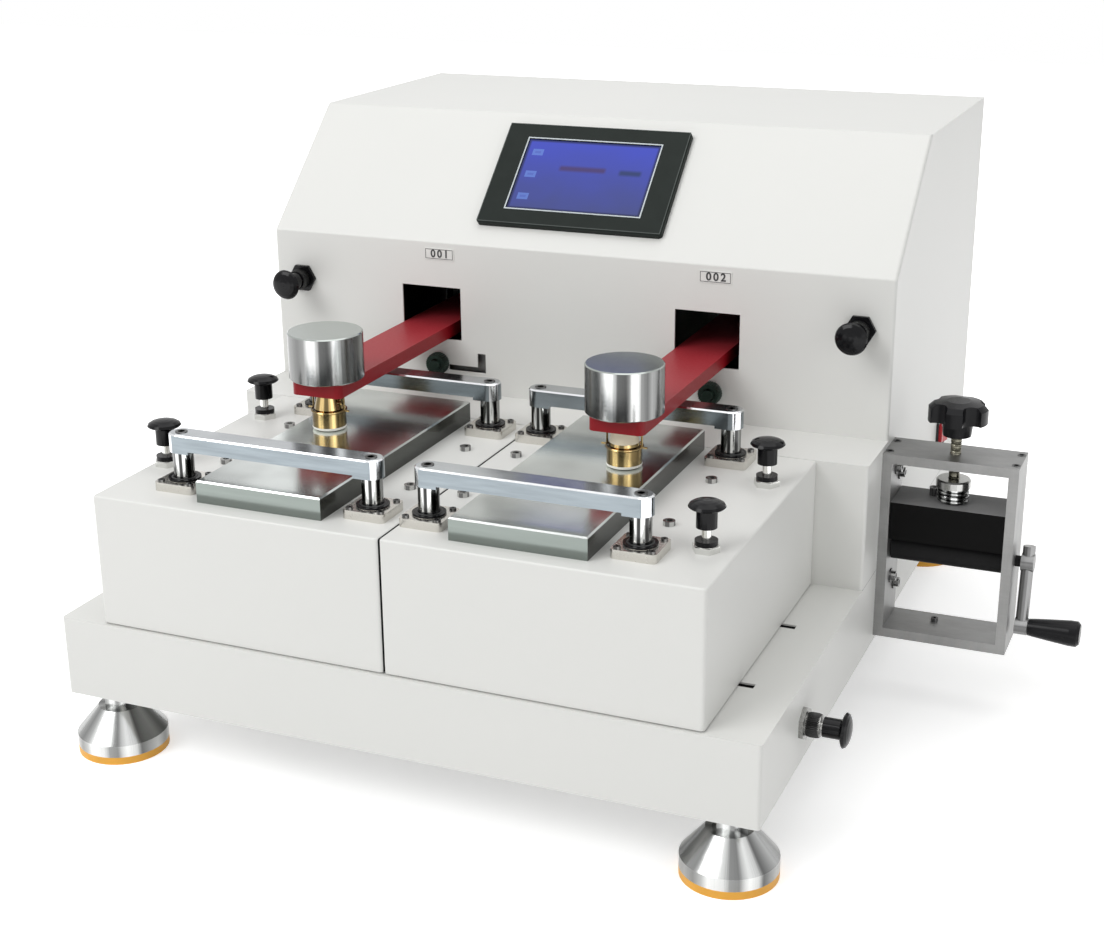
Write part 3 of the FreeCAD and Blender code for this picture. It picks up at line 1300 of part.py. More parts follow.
def crank():
    """Hub on the roller's shaft, round rod hanging to the boss that holds the grip's spindle."""
    at = (CRANK_X, ROLLER_Y, ROLLER_LOW)
    end = ("0", "0", "-crank_radius")
    boss_at = ("-crank_hub_width / 2", "0", "-crank_radius")
    spindle = "crank_hub_width / 2 + grip_gap + grip_length - grip_floor"
    parts = [
        rod("crank_hub_round", "crank_hub", "crank_hub_width", ("-crank_hub_width / 2", "0", "0"), "+x"),
        rod("crank_rod_round", "crank_rod", "crank_radius + crank_head", end),
        rod("crank_boss_round", "crank_boss", "crank_hub_width", boss_at, "+x"),
        rod("crank_spindle", "grip_pin", spindle, end, "+x"),
    ]
    solid = fuse("crank_solid", *parts)
    reach = "crank_hub_width"
    bore_at = ("-%s + bore_floor" % reach, "0", "0")
    bore = rod("crank_bore", "journal_radius + journal_play", reach, bore_at, "+x")
    piece = cut("crank_arm", solid, bore)
    lean = FreeCAD.Rotation(FreeCAD.Vector(1, 0, 0), measure("crank_lean"))
    piece.Placement = FreeCAD.Placement(FreeCAD.Vector(), lean)
    piece.setExpression(".Placement.Rotation.Angle", "Sizes.crank_lean")
    for letter, text in zip("xyz", at):
        piece.setExpression(".Placement.Base." + letter, bound(text))
    return piece


def crank_grip():
    """Tapered grip with a rounded end, free to turn on its spindle."""
    y = ROLLER_Y + " + crank_radius * sin(crank_lean)"
    z = ROLLER_LOW + " - crank_radius * cos(crank_lean)"
    at = (CRANK_X + " + crank_hub_width / 2 + grip_gap", y, z)
    piece = Piece("grip_turned", at, "+x")
    hollow = "grip_pin + pin_play"
    piece.revolve(
        [
            (hollow, "0"),
            ("grip_near", "0"),
            ("grip_near + 0.5", "3"),
            ("grip_near * 0.45 + grip_far * 0.55", "grip_length * 0.4"),
            ("grip_far", "grip_length * 0.8"),
            ("grip_far", "grip_length - 2"),
            ("grip_far - 2", "grip_length"),
            ("0", "grip_length"),
            ("0", "grip_length - grip_floor + 0.5"),
            (hollow, "grip_length - grip_floor + 0.5"),
        ]
    )
    return piece


low_bar, top_bar, uprights = wringer_frame()
keep("wringer_bottom_bar", low_bar)
keep("wringer_top_bar", top_bar)
keep("wringer_side_inner", uprights[0])
keep("wringer_side_outer", uprights[1])
keep("roller_lower", lower_roller())
keep("roller_upper", upper_roller())
keep("pressure_plate", pressure_plate())
screw_at = (SCREW_X, ROLLER_Y, KNOB_LOW + " + knob_socket - screw_length")
keep("pressure_screw", rod("pressure_screw", "screw_radius", "screw_length", screw_at))
keep("star_knob", star_knob())
keep("spring_cup", spring_cup())
keep("press_spring", press_spring())
keep("crank_arm", crank())
keep("crank_grip", crank_grip())

doc.recompute()
for thing in doc.Objects:
    if "Invalid" in thing.State or "Error" in thing.State:
        raise RuntimeError(thing.Name + " failed: " + thing.getStatusString())
for node, thing in nodes.items():
    if thing.Shape.isNull() or not thing.Shape.isValid() or not thing.Shape.Solids:
        raise RuntimeError(node + " has no valid solid")
os.makedirs("parts", exist_ok=True)
for node, thing in nodes.items():
    thing.Shape.exportStep("parts/%s.step" % node)
print(len(nodes), "sub-parts written")
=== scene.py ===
# %% [markdown]
# # A bench rubbing tester for cloth
# Two weighted arms rub a finger over cloth that is clamped on two polished tables. A touch
# panel sits on the sloping front, and a hand-cranked wringer hangs on the right side.
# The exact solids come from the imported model, so this file only gives them their finishes and
# adds what is too fine for the solids: screws, threads, the coil spring, labels and the lit
# screen. Everything is in metres, in the frame of the solids.

import math

import bmesh
import bpy
from mathutils import Matrix, Vector


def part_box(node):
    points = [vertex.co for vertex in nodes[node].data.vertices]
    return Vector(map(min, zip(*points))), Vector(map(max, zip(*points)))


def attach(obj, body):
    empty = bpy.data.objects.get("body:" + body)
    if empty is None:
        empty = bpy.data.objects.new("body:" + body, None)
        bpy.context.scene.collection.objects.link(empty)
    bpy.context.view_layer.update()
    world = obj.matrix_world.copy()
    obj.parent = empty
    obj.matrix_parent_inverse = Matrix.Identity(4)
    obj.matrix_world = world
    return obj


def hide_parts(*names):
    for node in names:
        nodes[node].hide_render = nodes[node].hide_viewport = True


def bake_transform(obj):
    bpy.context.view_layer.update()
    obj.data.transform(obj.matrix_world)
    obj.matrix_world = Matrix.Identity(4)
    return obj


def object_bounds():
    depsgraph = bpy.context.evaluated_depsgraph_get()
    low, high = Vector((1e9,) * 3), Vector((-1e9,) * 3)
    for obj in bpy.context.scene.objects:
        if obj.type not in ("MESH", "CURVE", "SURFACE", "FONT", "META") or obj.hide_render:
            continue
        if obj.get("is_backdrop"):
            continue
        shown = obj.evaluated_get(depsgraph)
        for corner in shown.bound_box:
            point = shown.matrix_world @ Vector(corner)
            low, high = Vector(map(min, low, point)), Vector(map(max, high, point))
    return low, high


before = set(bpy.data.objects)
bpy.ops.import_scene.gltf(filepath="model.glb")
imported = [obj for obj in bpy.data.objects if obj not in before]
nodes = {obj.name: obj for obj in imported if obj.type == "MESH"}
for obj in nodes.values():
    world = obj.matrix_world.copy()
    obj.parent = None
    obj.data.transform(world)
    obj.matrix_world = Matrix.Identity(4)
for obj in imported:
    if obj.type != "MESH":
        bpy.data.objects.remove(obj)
solid_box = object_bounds()

# %% [markdown]
# ## Shader arithmetic
# A procedural finish is a small formula: how rough, how dark, how bumpy at each point. Blender
# holds formulas as nodes. To keep them readable, one class wraps an output socket, so that a
# plain Python expression adds the Math nodes, and one method adds any other node.

# %% A socket that can be added and multiplied
class Wire:
    def __init__(self, finish, socket):
        self.finish = finish
        self.socket = socket

    def math(self, operation, *others):
        return self.finish.add("ShaderNodeMath", [self, *others], operation=operation)

    def __add__(self, other):
        return self.math("ADD", other)

    def __sub__(self, other):
        return self.math("SUBTRACT", other)

    def __mul__(self, other):
        return self.math("MULTIPLY", other)

    def __truediv__(self, other):
        return self.math("DIVIDE", other)

    def __rsub__(self, other):
        return (self * -1) + other

    def __gt__(self, other):
        return self.math("GREATER_THAN", other)

    def __lt__(self, other):
        return self.math("LESS_THAN", other)

    def within(self, low, high):
        """1 inside a span, 0 outside."""
        return (self > low) * (self < high)

    __radd__ = __add__
    __rmul__ = __mul__


class Finish:
    """A material with one Principled shader, built node by node."""

    def __init__(self, name, color=(0.8, 0.8, 0.8), rough=0.5, metal=0.0, **more):
        self.material = bpy.data.materials.new(name)
        self.material.use_nodes = True
        self.tree = self.material.node_tree
        self.shader = self.tree.nodes["Principled BSDF"]
        self.set("Base Color", (*color, 1))
        self.set("Roughness", rough)
        self.set("Metallic", metal)
        for key, value in more.items():
            self.set(key.replace("_", " "), value)

    def set(self, key, value):
        self.plug(self.shader.inputs[key], value)

    def plug(self, socket, value):
        if isinstance(value, Wire):
            self.tree.links.new(value.socket, socket)
        else:
            socket.default_value = value

    def add(self, kind, inputs=(), out=0, stops=None, **settings):
        """Adds a node. inputs is a list in order or a dict by name; out picks the output."""
        node = self.tree.nodes.new(kind)
        for key, value in settings.items():
            setattr(node, key, value)
        if stops:
            ramp = node.color_ramp
            while len(ramp.elements) < len(stops):
                ramp.elements.new(0.5)
            for element, (place, color) in zip(ramp.elements, stops):
                element.position = place
                element.color = (*color, 1) if len(color) == 3 else color
        pairs = inputs.items() if isinstance(inputs, dict) else enumerate(inputs)
        for key, value in pairs:
            self.plug(node.inputs[key], value)
        return Wire(self, node.outputs[out])

    def place(self, centre=(0, 0, 0), scale=(1, 1, 1)):
        """Object coordinates about a centre, stretched by scale."""
        spot = self.add("ShaderNodeTexCoord", out="Object")
        shift = self.add("ShaderNodeVectorMath", [spot, centre], operation="SUBTRACT")
        return self.add("ShaderNodeVectorMath", [shift, scale], operation="MULTIPLY")

    def noise(self, where, scale, detail=2.0, rough=0.5):
        inputs = {"Vector": where, "Scale": scale, "Detail": detail, "Roughness": rough}
        return self.add("ShaderNodeTexNoise", inputs, out="Fac")

    def split(self, where, letter):
        return self.add("ShaderNodeSeparateXYZ", [where], out=letter)

    def normal(self, letter):
        """One component of the surface's own normal."""
        return self.split(self.add("ShaderNodeTexCoord", out="Normal"), letter)

    def blend(self, amount, low, high):
        """A colour between two, by an amount from 0 to 1."""
        low = low if isinstance(low, Wire) else (*low, 1)
        high = high if isinstance(high, Wire) else (*high, 1)
        inputs = {0: amount, 6: low, 7: high}
        return self.add("ShaderNodeMix", inputs, out=2, data_type="RGBA")

    def bump(self, height, distance, strength=1.0):
        inputs = {"Strength": strength, "Distance": distance, "Height": height}
        self.set("Normal", self.add("ShaderNodeBump", inputs))


print("shader arithmetic ready")

# %% [markdown]
# ## Powder coat
# The sheet metal is baked powder: nearly white, satin, with a fine orange peel that only shows where light
# grazes it. A mask worked out from the place in the machine paints shade into the coat: black on the inner faces
# of the boxes, which is why the windows and slots look black, black in the gap between the two stage boxes and
# in the rebate under them, and half dark along the seam at the foot of the cabinet.

# %% Off-white powder coat with painted shade inside and in the gaps
def powder_coat():
    coat = Finish("powder_coat", rough=0.4)
    where = coat.place()
    x, y, z = (coat.split(where, letter) for letter in "XYZ")
    cloud = coat.noise(where, 5.0, 3.0)
    peel = coat.noise(where, 900.0, 2.0)
    wall, room_floor, room_back, shelf_top = 0.0012, 0.1052, 0.302, 0.197
    slope_foot, slope_normal = 0.315, (-0.6792, 0.7340)
    base_top, rebate_top, stage_back = 0.1042, 0.1049, -0.0592
    gap_left, gap_right, gap_top = -0.0589, -0.0575, 0.1965
    seam_front, seam_low, seam_high = -0.058, 0.1037, 0.1043
    low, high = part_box("cabinet")
    middle = x.within(low.x + wall, high.x - wall)
    slope = y * slope_normal[0] + (z - slope_foot) * slope_normal[1] < -wall
    room = middle * y.within(wall, room_back) * z.within(room_floor, high.z - wall) * slope
    shelf = middle * y.within(low.y + wall, wall + 0.001) * z.within(room_floor, shelf_top - wall)
    low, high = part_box("base_plinth")
    tub = x.within(low.x + wall, high.x - wall) * y.within(low.y + wall, high.y - wall)
    tub = tub * z.within(low.z + wall, high.z - wall)
    split = x.within(gap_left, gap_right) * (y < stage_back) * z.within(base_top, gap_top)
    rebate = (y < stage_back) * z.within(base_top, rebate_top)
    seam = (y > seam_front) * z.within(seam_low, seam_high) * 0.5
    # painted shade: black on the insides, in the gap between the stage boxes and in the rebate, half dark along
    # the seam
    dark = room.math("MAXIMUM", shelf).math("MAXIMUM", tub).math("MAXIMUM", split)
    dark = dark.math("MAXIMUM", rebate).math("MAXIMUM", seam)
    white = coat.blend(cloud, (0.745, 0.75, 0.725), (0.785, 0.785, 0.76))
    coat.set("Base Color", coat.blend(dark, white, (0.012, 0.012, 0.013)))
    coat.set("Roughness", peel * 0.10 + 0.36)
    coat.bump(peel, 0.00012, 0.35)
    return coat.material


# %% Red lacquer of the arms
def red_lacquer():
    coat = Finish("red_lacquer", rough=0.45, Specular_IOR_Level=0.3)
    where = coat.place()
    cloud = coat.noise(where, 14.0, 3.0)
    peel = coat.noise(where, 500.0, 2.0)
    # painted shade: the faces that do not look up get a darker red than the top
    side = coat.normal("Z") < 0.5
    top = coat.blend(cloud, (0.30, 0.022, 0.030), (0.36, 0.030, 0.040))
    coat.set("Base Color", coat.blend(side, top, (0.27, 0.004, 0.010)))
    coat.set("Roughness", peel * 0.12 + 0.38)
    coat.bump(peel, 0.0001, 0.3)
    return coat.material


# %% [markdown]
# ## Metals
# Bare metal is all reflection. A studio has bright panels and dark gaps between them, and a plated or turned
# round part shows them as upright bands. The bands here are painted reflections: a colour ramp over the angle
# about the part's own axis. Weights, posts, feet and brass each have their own ramp. Flat bars keep fine
# polishing streaks along their length; their tops get a lit colour and their sides a shaded one, the tables
# large patches of painted reflection, and the chamfers a painted highlight.

# %% Flat plated steel
def plated(
    name, top, side, rough, streak=(1, 1, 1), depth=0.00001, shine=(0.95, 0.96, 0.97), grain=0.2,
    flank=None, fade=0.82, size=24.0
):
    """shine is the colour of the painted highlight on chamfers and curved edges; grain is how far the streaks
    show. top and side are the lit top's colour and the shaded sides' colour, and flank is the painted shade of
    the faces that look along X. fade is the dark part of the top's patches, which are polishing smears and
    painted reflection, and size is how fine they are.
    """
    metal = Finish(name, top, rough, 1.0)
    line = metal.noise(metal.place(scale=streak), 260.0, 3.0, 0.6)
    smear_and_reflection = metal.noise(metal.place(), size, 3.0)
    up = metal.normal("Z").math("ABSOLUTE")
    across = metal.normal("X").math("ABSOLUTE")
    along = metal.normal("Y").math("ABSOLUTE")
    edge = up.math("MAXIMUM", across).math("MAXIMUM", along) < 0.93
    low, wall = [
        metal.blend(line, tuple(c * (1 - grain) for c in tone), tuple(c * (1 + grain) for c in tone))
        for tone in (side, flank or side)
    ]
    # patches on the top that are polishing smears and painted reflection
    patch = metal.add("ShaderNodeClamp", [(smear_and_reflection - 0.35) * 3.4, 0.0, 1.0])
    high = metal.blend(patch, tuple(c * fade for c in top), top)
    # painted light: a lit colour on the tops, a shaded one on the sides and on the faces along X
    color = metal.blend(up > 0.7, metal.blend(across > 0.7, low, wall), high)
    # painted highlight on the chamfers and curved edges
    metal.set("Base Color", metal.blend(edge, color, shine))
    metal.set("Roughness", smear_and_reflection * 0.08 + line * 0.06 + (rough - 0.06))
    metal.bump(line, depth, 0.5)
    return metal.material


# %% Round steel with bands about its axis
def banded(
    name, stops, centre=(0, 0, 0), apart=(0, 0), rough=0.16, tint=(1, 1, 1), cap=None, fine=9.0
):
    """apart is half the distance between mirrored axes; cap is the colour of the flat top.
    The bands are painted reflections of the studio, set out from the side that faces the camera, which stands in
    front of the machine, to its right.
    """
    stand_x, stand_y = 0.4467, -1.2166
    metal = Finish(name, tint, rough, 1.0)
    where = metal.place(centre)
    arms = []
    for letter, half in zip("XY", apart):
        value = metal.split(where, letter)
        arms.append(value - value.math("SIGN") * half if half else value)
    x, y = arms
    z = metal.split(where, "Z")
    stand = math.atan2(stand_y - centre[1], stand_x - centre[0])
    turned = y.math("ARCTAN2", x) * (0.5 / math.pi) + (0.5 - stand / (2 * math.pi) + 1)
    angle = turned.math("FRACT")
    unrolled = metal.add("ShaderNodeCombineXYZ", [angle * fine, 0.0, z * 1.5])
    streak = metal.noise(unrolled, 14.0, 3.0, 0.6)
    wavy = angle + streak * 0.012 - 0.006
    ramp = metal.add("ShaderNodeValToRGB", [wavy], out="Color", stops=stops)
    shade = metal.blend(streak * 0.6, (1, 1, 1), (0.62, 0.66, 0.63))
    inputs = {0: 1.0, 6: ramp, 7: shade}
    color = metal.add("ShaderNodeMix", inputs, out=2, data_type="RGBA", blend_type="MULTIPLY")
    radius = (x * x + y * y).math("SQRT")
    ring = metal.noise(metal.add("ShaderNodeCombineXYZ", [radius, z, 0.0]), 1500.0, 2.0, 0.6)
    if cap:
        flat = metal.normal("Z").math("ABSOLUTE") > 0.7
        face = metal.blend(ring, tuple(c * 0.8 for c in cap), cap)
        color = metal.blend(flat, color, face)
    metal.set("Base Color", color)
    metal.set("Roughness", ring * 0.10 + (rough - 0.05))
    metal.bump(ring, 0.00002, 0.4)
    return metal.material


def bands(*pairs, tint=(1, 1, 1)):
    """Ramp stops from the angle to the stand, in degrees, and the brightness there."""
    return [(angle / 360 + 0.5, tuple(value * t for t in tint)) for angle, value in pairs]


# painted reflection bands: one ramp each for the weights, the feet, the clamp posts and the brass
weight_bands = bands(
    (-180, 0.3), (-130, 0.5), (-110, 0.12), (-80, 0.09), (-62, 0.20), (-48, 0.16), (-36, 0.22),
    (-27, 0.70), (-18, 0.60), (-10, 0.10), (2, 0.08), (7, 0.20), (11, 0.80), (18, 0.75),
    (24, 0.22), (34, 0.12), (42, 0.28), (55, 0.17), (66, 0.32), (80, 0.16), (110, 0.45),
    (150, 0.12), (180, 0.3),
)
foot_bands = bands(
    (-180, 0.3), (-130, 0.5), (-92, 0.16), (-66, 0.42), (-50, 0.28), (-38, 0.50), (-30, 0.85),
    (-12, 0.70), (-4, 0.30), (6, 0.24), (12, 0.60), (18, 0.85), (30, 0.62), (36, 0.14),
    (46, 0.28), (62, 0.50), (80, 0.26), (110, 0.5), (150, 0.2), (180, 0.3),
)
post_bands = bands(
    (-180, 0.35), (-120, 0.08), (-70, 0.12), (-48, 0.16), (-42, 0.75), (-28, 0.70), (-22, 0.05),
    (-8, 0.04), (-3, 0.80), (14, 0.85), (20, 0.06), (38, 0.08), (46, 0.45), (60, 0.25),
    (85, 0.10), (120, 0.6), (150, 0.1), (180, 0.35),
)
brass_bands = bands(
    (-180, 0.5), (-120, 0.25), (-60, 0.18), (-44, 0.30), (-38, 0.95), (-24, 1.0), (-18, 0.22),
    (-4, 0.20), (2, 0.9), (16, 0.95), (24, 0.30), (48, 0.18), (60, 0.45), (80, 0.2), (120, 0.9),
    (180, 0.5), tint=(1.0, 0.72, 0.33),
)


# %% Ground flat bar of the wringer
def ground_bar():
    metal = Finish("ground_bar", (0.30, 0.30, 0.30), 0.42, 1.0)
    grain = metal.noise(metal.place(scale=(1, 1, 0.04)), 900.0, 2.0, 0.6)
    across = metal.noise(metal.place(scale=(0.04, 1, 1)), 900.0, 2.0, 0.6)
    cloud = metal.noise(metal.place(scale=(0.5, 1, 0.5)), 60.0, 4.0, 0.6)
    shade = cloud * 0.7 + grain * 0.15 + across * 0.15
    metal.set("Base Color", metal.blend(shade, (0.16, 0.16, 0.158), (0.40, 0.40, 0.395)))
    metal.set("Roughness", grain * 0.12 + across * 0.08 + 0.34)
    metal.bump(grain + across, 0.00003, 0.4)
    return metal.material


# %% [markdown]
# ## Plastics and rubber
# The pull knobs and the star grip are gloss moulded plastic, the panel's bezel has a fine
# spark-eroded texture, and the rollers are ground rubber, which is dull with a powdery sheen.

# %% Moulded plastics
def moulded(name, color, rough=0.25, grain=600.0, depth=0.00004, gloss=0.5):
    plastic = Finish(name, color, rough, 0.0, Specular_IOR_Level=gloss)
    where = plastic.place()
    fine = plastic.noise(where, grain, 2.0)
    cloud = plastic.noise(where, 60.0, 2.0)
    lighter = tuple(min(1, c * 1.35 + 0.004) for c in color)
    plastic.set("Base Color", plastic.blend(cloud, color, lighter))
    plastic.set("Roughness", fine * 0.12 + (rough - 0.06))
    plastic.bump(fine, depth, 0.4)
    return plastic.material


def ground_rubber():
    rubber = Finish("ground_rubber", (0.012, 0.012, 0.012), 0.62, Specular_IOR_Level=0.15)
    grain = rubber.noise(rubber.place(scale=(0.15, 1, 1)), 1800.0, 3.0, 0.6)
    cloud = rubber.noise(rubber.place(), 50.0, 3.0)
    rubber.set("Base Color", rubber.blend(cloud, (0.006, 0.006, 0.006), (0.014, 0.014, 0.015)))
    rubber.set("Roughness", grain * 0.2 + 0.48)
    rubber.bump(grain, 0.00005, 0.5)
    return rubber.material


# %% [markdown]
# ## One solid, two finishes
# A pull knob is black plastic on a bright steel pin, and a threaded sleeve is a bright nut under
# a black barrel, but each is one solid. The distance from the knob's axis, or the height on it,
# tells the two apart, and mixes their colour and metal.

# %% Knob on a steel pin, and black barrel on a bright nut
def two_part(
    name, mask_of, dark=(0.005, 0.005, 0.006), bright=(0.70, 0.70, 0.68), rough=0.13, gloss=0.18,
    steel=1.0
):
    """steel is how metallic the bright part is."""
    mixed = Finish(name, dark, rough, Specular_IOR_Level=gloss)
    where = mixed.place()
    fine = mixed.noise(where, 700.0, 2.0)
    mask = mask_of(mixed, where)
    mixed.set("Base Color", mixed.blend(mask, dark, bright))
    mixed.set("Metallic", mask * steel)
    mixed.set("Roughness", fine * 0.08 + (rough - 0.02))
    mixed.bump(fine, 0.00003, 0.3)
    return mixed.material


def knob_finish(node, axis, reach):
    """The pin is bright for a reach from the inner end, up to the knob's neck."""
    low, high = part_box(node)
    centre = (low + high) / 2
    root = high if axis == "Y" or (axis == "X" and centre.x < 0) else low
    pin_radius = 0.0032

    def pin(mixed, where):
        def off(point, letter):
            return mixed.split(where, letter) - getattr(point, letter.lower())

        a, b = [off(centre, letter) for letter in "XYZ" if letter != axis]
        along = off(root, axis).math("ABSOLUTE")
        return ((a * a + b * b).math("SQRT") < pin_radius) * (along < reach)

    return two_part("finish_" + node, pin)


def below(letter, limit):
    """Marks what lies under a limit along one axis."""
    return lambda mixed, where: mixed.split(where, letter) < limit


def sleeve_finish(side):
    nut_top = 0.2012
    return two_part("stage_sleeve_" + side, below("Z", nut_top), rough=0.2)


def wall_sleeve_finish():
    """The sleeves in the front wall are black, and the ones in the base's sides are grey."""
    before_wall = -0.1
    grey = (0.30, 0.30, 0.29)
    return two_part("wall_sleeves", below("Y", before_wall), bright=grey, rough=0.25)


def flange_finish():
    rim_top = 0.2031
    bright = (0.66, 0.64, 0.60)
    return two_part("guide_flange", below("Z", rim_top), bright=bright, rough=0.24)


def plate_finish():
    """Black front and sides; the grey top is a painted sheen, the reflection the black plate shows at a grazing
    angle.
    """
    return two_part(
        "pressure_plate", lambda mixed, where: mixed.normal("Z") > 0.7,
        (0.005, 0.005, 0.005), (0.22, 0.22, 0.22), rough=0.45, gloss=0.06, steel=0.0
    )


# %% [markdown]
# ## Dress the solids
# Each solid keeps its shape and only gets its finish.

# %% Give each solid its finish
# where the stations, the two clamp posts of a pair, the pairs of posts and the feet stand
stations = {"left": -0.1533, "right": 0.0301}
half_pitch = 0.0715
post_lines = {"front": -0.2647, "rear": -0.0835}
feet_middle, foot_x, foot_y = -0.0566, 0.225, 0.283
coat = powder_coat()
red = red_lacquer()
# The plated finishes give the tops a lit colour, the sides a shaded one and the edges a painted highlight.
clamp_chrome = plated(
    "clamp_chrome", (0.50, 0.52, 0.54), (0.22, 0.25, 0.27), 0.16, (0.08, 1, 1),
    shine=(0.75, 0.76, 0.78), grain=0.32
)
# On the tables the top gets large patches of painted reflection, and the faces that look along X a painted
# shade.
table_mirror = plated(
    "table_mirror", (0.86, 0.90, 0.88), (0.20, 0.225, 0.21), 0.16, (0.05, 1, 1), 0.000004,
    shine=(0.62, 0.64, 0.63), grain=0.14, flank=(0.075, 0.078, 0.072), fade=0.46, size=9.0
)
crank_chrome = plated(
    "crank_chrome", (0.26, 0.26, 0.25), (0.17, 0.17, 0.17), 0.3, (1, 1, 0.06), shine=(0.26, 0.26, 0.26)
)
cup_chrome = plated("cup_chrome", (0.50, 0.50, 0.48), (0.36, 0.36, 0.35), 0.2, shine=(0.45, 0.45, 0.44))
bar = ground_bar()
knob_black = moulded("knob_black", (0.005, 0.005, 0.006), 0.24, gloss=0.14)
case_black = moulded("case_black", (0.012, 0.012, 0.013), 0.4)
bezel_grey = moulded("bezel_grey", (0.010, 0.014, 0.012), 0.45, 1500.0, gloss=0.12)
pad_yellow = moulded("pad_yellow", (0.72, 0.36, 0.04), 0.45, 300.0)
rocker_red = moulded("rocker_red", (0.50, 0.010, 0.020), 0.2)
rubber = ground_rubber()
foot_steel = banded("foot_steel", foot_bands, (feet_middle, 0, 0), (foot_x, foot_y), 0.2, fine=30.0)


def dress(material, *names):
    for name in names:
        mesh = nodes[name].data
        mesh.materials.clear()
        mesh.materials.append(material)


def both(*stems):
    return [stem + "_" + side for stem in stems for side in ("left", "right")]


corners = [side + "_" + end for side in ("left", "right") for end in ("front", "rear")]
dress(coat, "base_plinth", "cabinet", "rear_panel", *both("stage_box"))
dress(red, *both("arm"))
dress(flange_finish(), *both("clamp_flanges"))
dress(crank_chrome, "crank_arm")
dress(cup_chrome, "spring_cup")
dress(clamp_chrome, *["clamp_bar_" + c for c in corners])
dress(table_mirror, *both("specimen_table"))
dress(bar, "slide_brackets", "guide_rods", *both("carriage"))
dress(bar, "wringer_bottom_bar", "wringer_top_bar", "wringer_side_inner", "wringer_side_outer")
dress(knob_black, "star_knob", "crank_grip")
dress(case_black, "power_inlet", "switch_frame")
dress(wall_sleeve_finish(), "frame_sleeves")
dress(plate_finish(), "pressure_plate")
dress(bezel_grey, "hmi_bezel")
dress(pad_yellow, "foot_pads")
dress(rocker_red, "switch_rocker")
dress(rubber, "roller_lower", "roller_upper")
dress(foot_steel, "foot_bodies")
for side, station in stations.items():
    dress(sleeve_finish(side), "stage_sleeves_" + side)
    low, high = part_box("weight_" + side)
    middle, top = (low + high) / 2, (0.42, 0.45, 0.43)
    weight = banded("turned_weight_" + side, weight_bands, middle, cap=top, rough=0.2)
    dress(weight, "weight_" + side)
    low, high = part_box("finger_" + side)
    middle, tint = (low + high) / 2, (1, 0.75, 0.4)
    brass = banded("turned_brass_" + side, brass_bands, middle, tint=tint, rough=0.14)
    dress(brass, "finger_" + side, "cloth_clip_" + side)
    for end in ("front", "rear"):
        low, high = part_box("clamp_posts_%s_%s" % (side, end))
        centre = (station, (low.y + high.y) / 2, 0)
        posts = banded("posts_%s_%s" % (side, end), post_bands, centre, (half_pitch, 0), 0.12)
        dress(posts, "clamp_posts_%s_%s" % (side, end))
stage_pin, wall_pin = 0.0304, 0.0289
for corner in corners:
    dress(knob_finish("plunger_" + corner, "Z", stage_pin), "plunger_" + corner)
for side in stations:
    dress(knob_finish("plunger_cabinet_" + side, "Y", wall_pin), "plunger_cabinet_" + side)
    dress(knob_finish("plunger_base_" + side, "X", wall_pin), "plunger_base_" + side)
print(len(bpy.data.materials), "finishes")

# %% [markdown]
# ## The lit screen
# The display shows a plain blue page with three small squares at its left and two dim bars,
# as any controller might. It is worked out from the place on the glass, so it needs no picture.

# %% Screen page
# each edge of the slope: millimetres behind the base's front, and above the base's top
(low_back, low_rise), (high_back, high_rise) = (306, 211), (400, 298)
slope_angle = math.atan2(high_rise - low_rise, high_back - low_back)


def screen_page():
    page = Finish("screen_page", (0.006, 0.006, 0.012), 0.2, Specular_IOR_Level=0.12)
    low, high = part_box("hmi_screen")
    where = page.place((low + high) / 2)
    turned = {"Vector": where, "Axis": (1, 0, 0), "Angle": -slope_angle}
    turn = page.add("ShaderNodeVectorRotate", turned, rotation_type="AXIS_ANGLE")
    across, up = page.split(turn, "X"), page.split(turn, "Y")

    def area(x, y, wide, tall):
        inside = (across - x).math("ABSOLUTE") < wide / 2, (up - y).math("ABSOLUTE") < tall / 2
        return inside[0] * inside[1]

    def column(wide, tall):
        """Three equal squares one above the other."""
        x, pitch = -0.044, 0.021
        return area(x, pitch, wide, tall) + area(x, 0.0, wide, tall) + area(x, -pitch, wide, tall)

    def soft(x, y, wide, tall, edge):
        sides = [(across - x).math("ABSOLUTE"), (up - y).math("ABSOLUTE")]
        near = [page.add("ShaderNodeClamp", [(half - side) / edge, 0.0, 1.0])
                for side, half in zip(sides, (wide / 2, tall / 2))]
        return near[0] * near[1]

    cloud = page.noise(page.place(), 30.0, 2.0)
    glow = page.add("ShaderNodeClamp", [cloud * 0.5 + up * 14.0 + 0.3, 0.0, 1.0])
    blue = page.blend(glow, (0.062, 0.078, 0.235), (0.060, 0.085, 0.57))
    blue = page.blend(column(0.009, 0.006) * 0.75, blue, (0.15, 0.26, 0.74))
    blue = page.blend(column(0.005, 0.002) * 0.5, blue, (0.08, 0.12, 0.50))
    blue = page.blend(soft(-0.003, 0.007, 0.040, 0.007, 0.0025) * 0.8, blue, (0.075, 0.040, 0.12))
    blue = page.blend(soft(0.036, 0.006, 0.020, 0.007, 0.0025) * 0.8, blue, (0.022, 0.045, 0.11))
    rim = 1 - soft(0, 0, 0.106, 0.064, 0.0015)
    blue = page.blend(rim * 0.8, blue, (0.015, 0.02, 0.06))
    page.set("Emission Color", blue)
    page.set("Emission Strength", 0.9)
    return page.material


dress(screen_page(), "hmi_screen")

# %% [markdown]
# ## Geometry Nodes recipes
# Screws, knurls, rings, coils and threads repeat one small form. A Geometry Nodes tree makes the
# form from a few named sizes and sets it on marked points. Here a small class writes such a tree:
# its sizes are the group's inputs, and it always ends in Realize Instances and Set Material,
# so that what comes out is one plain mesh.

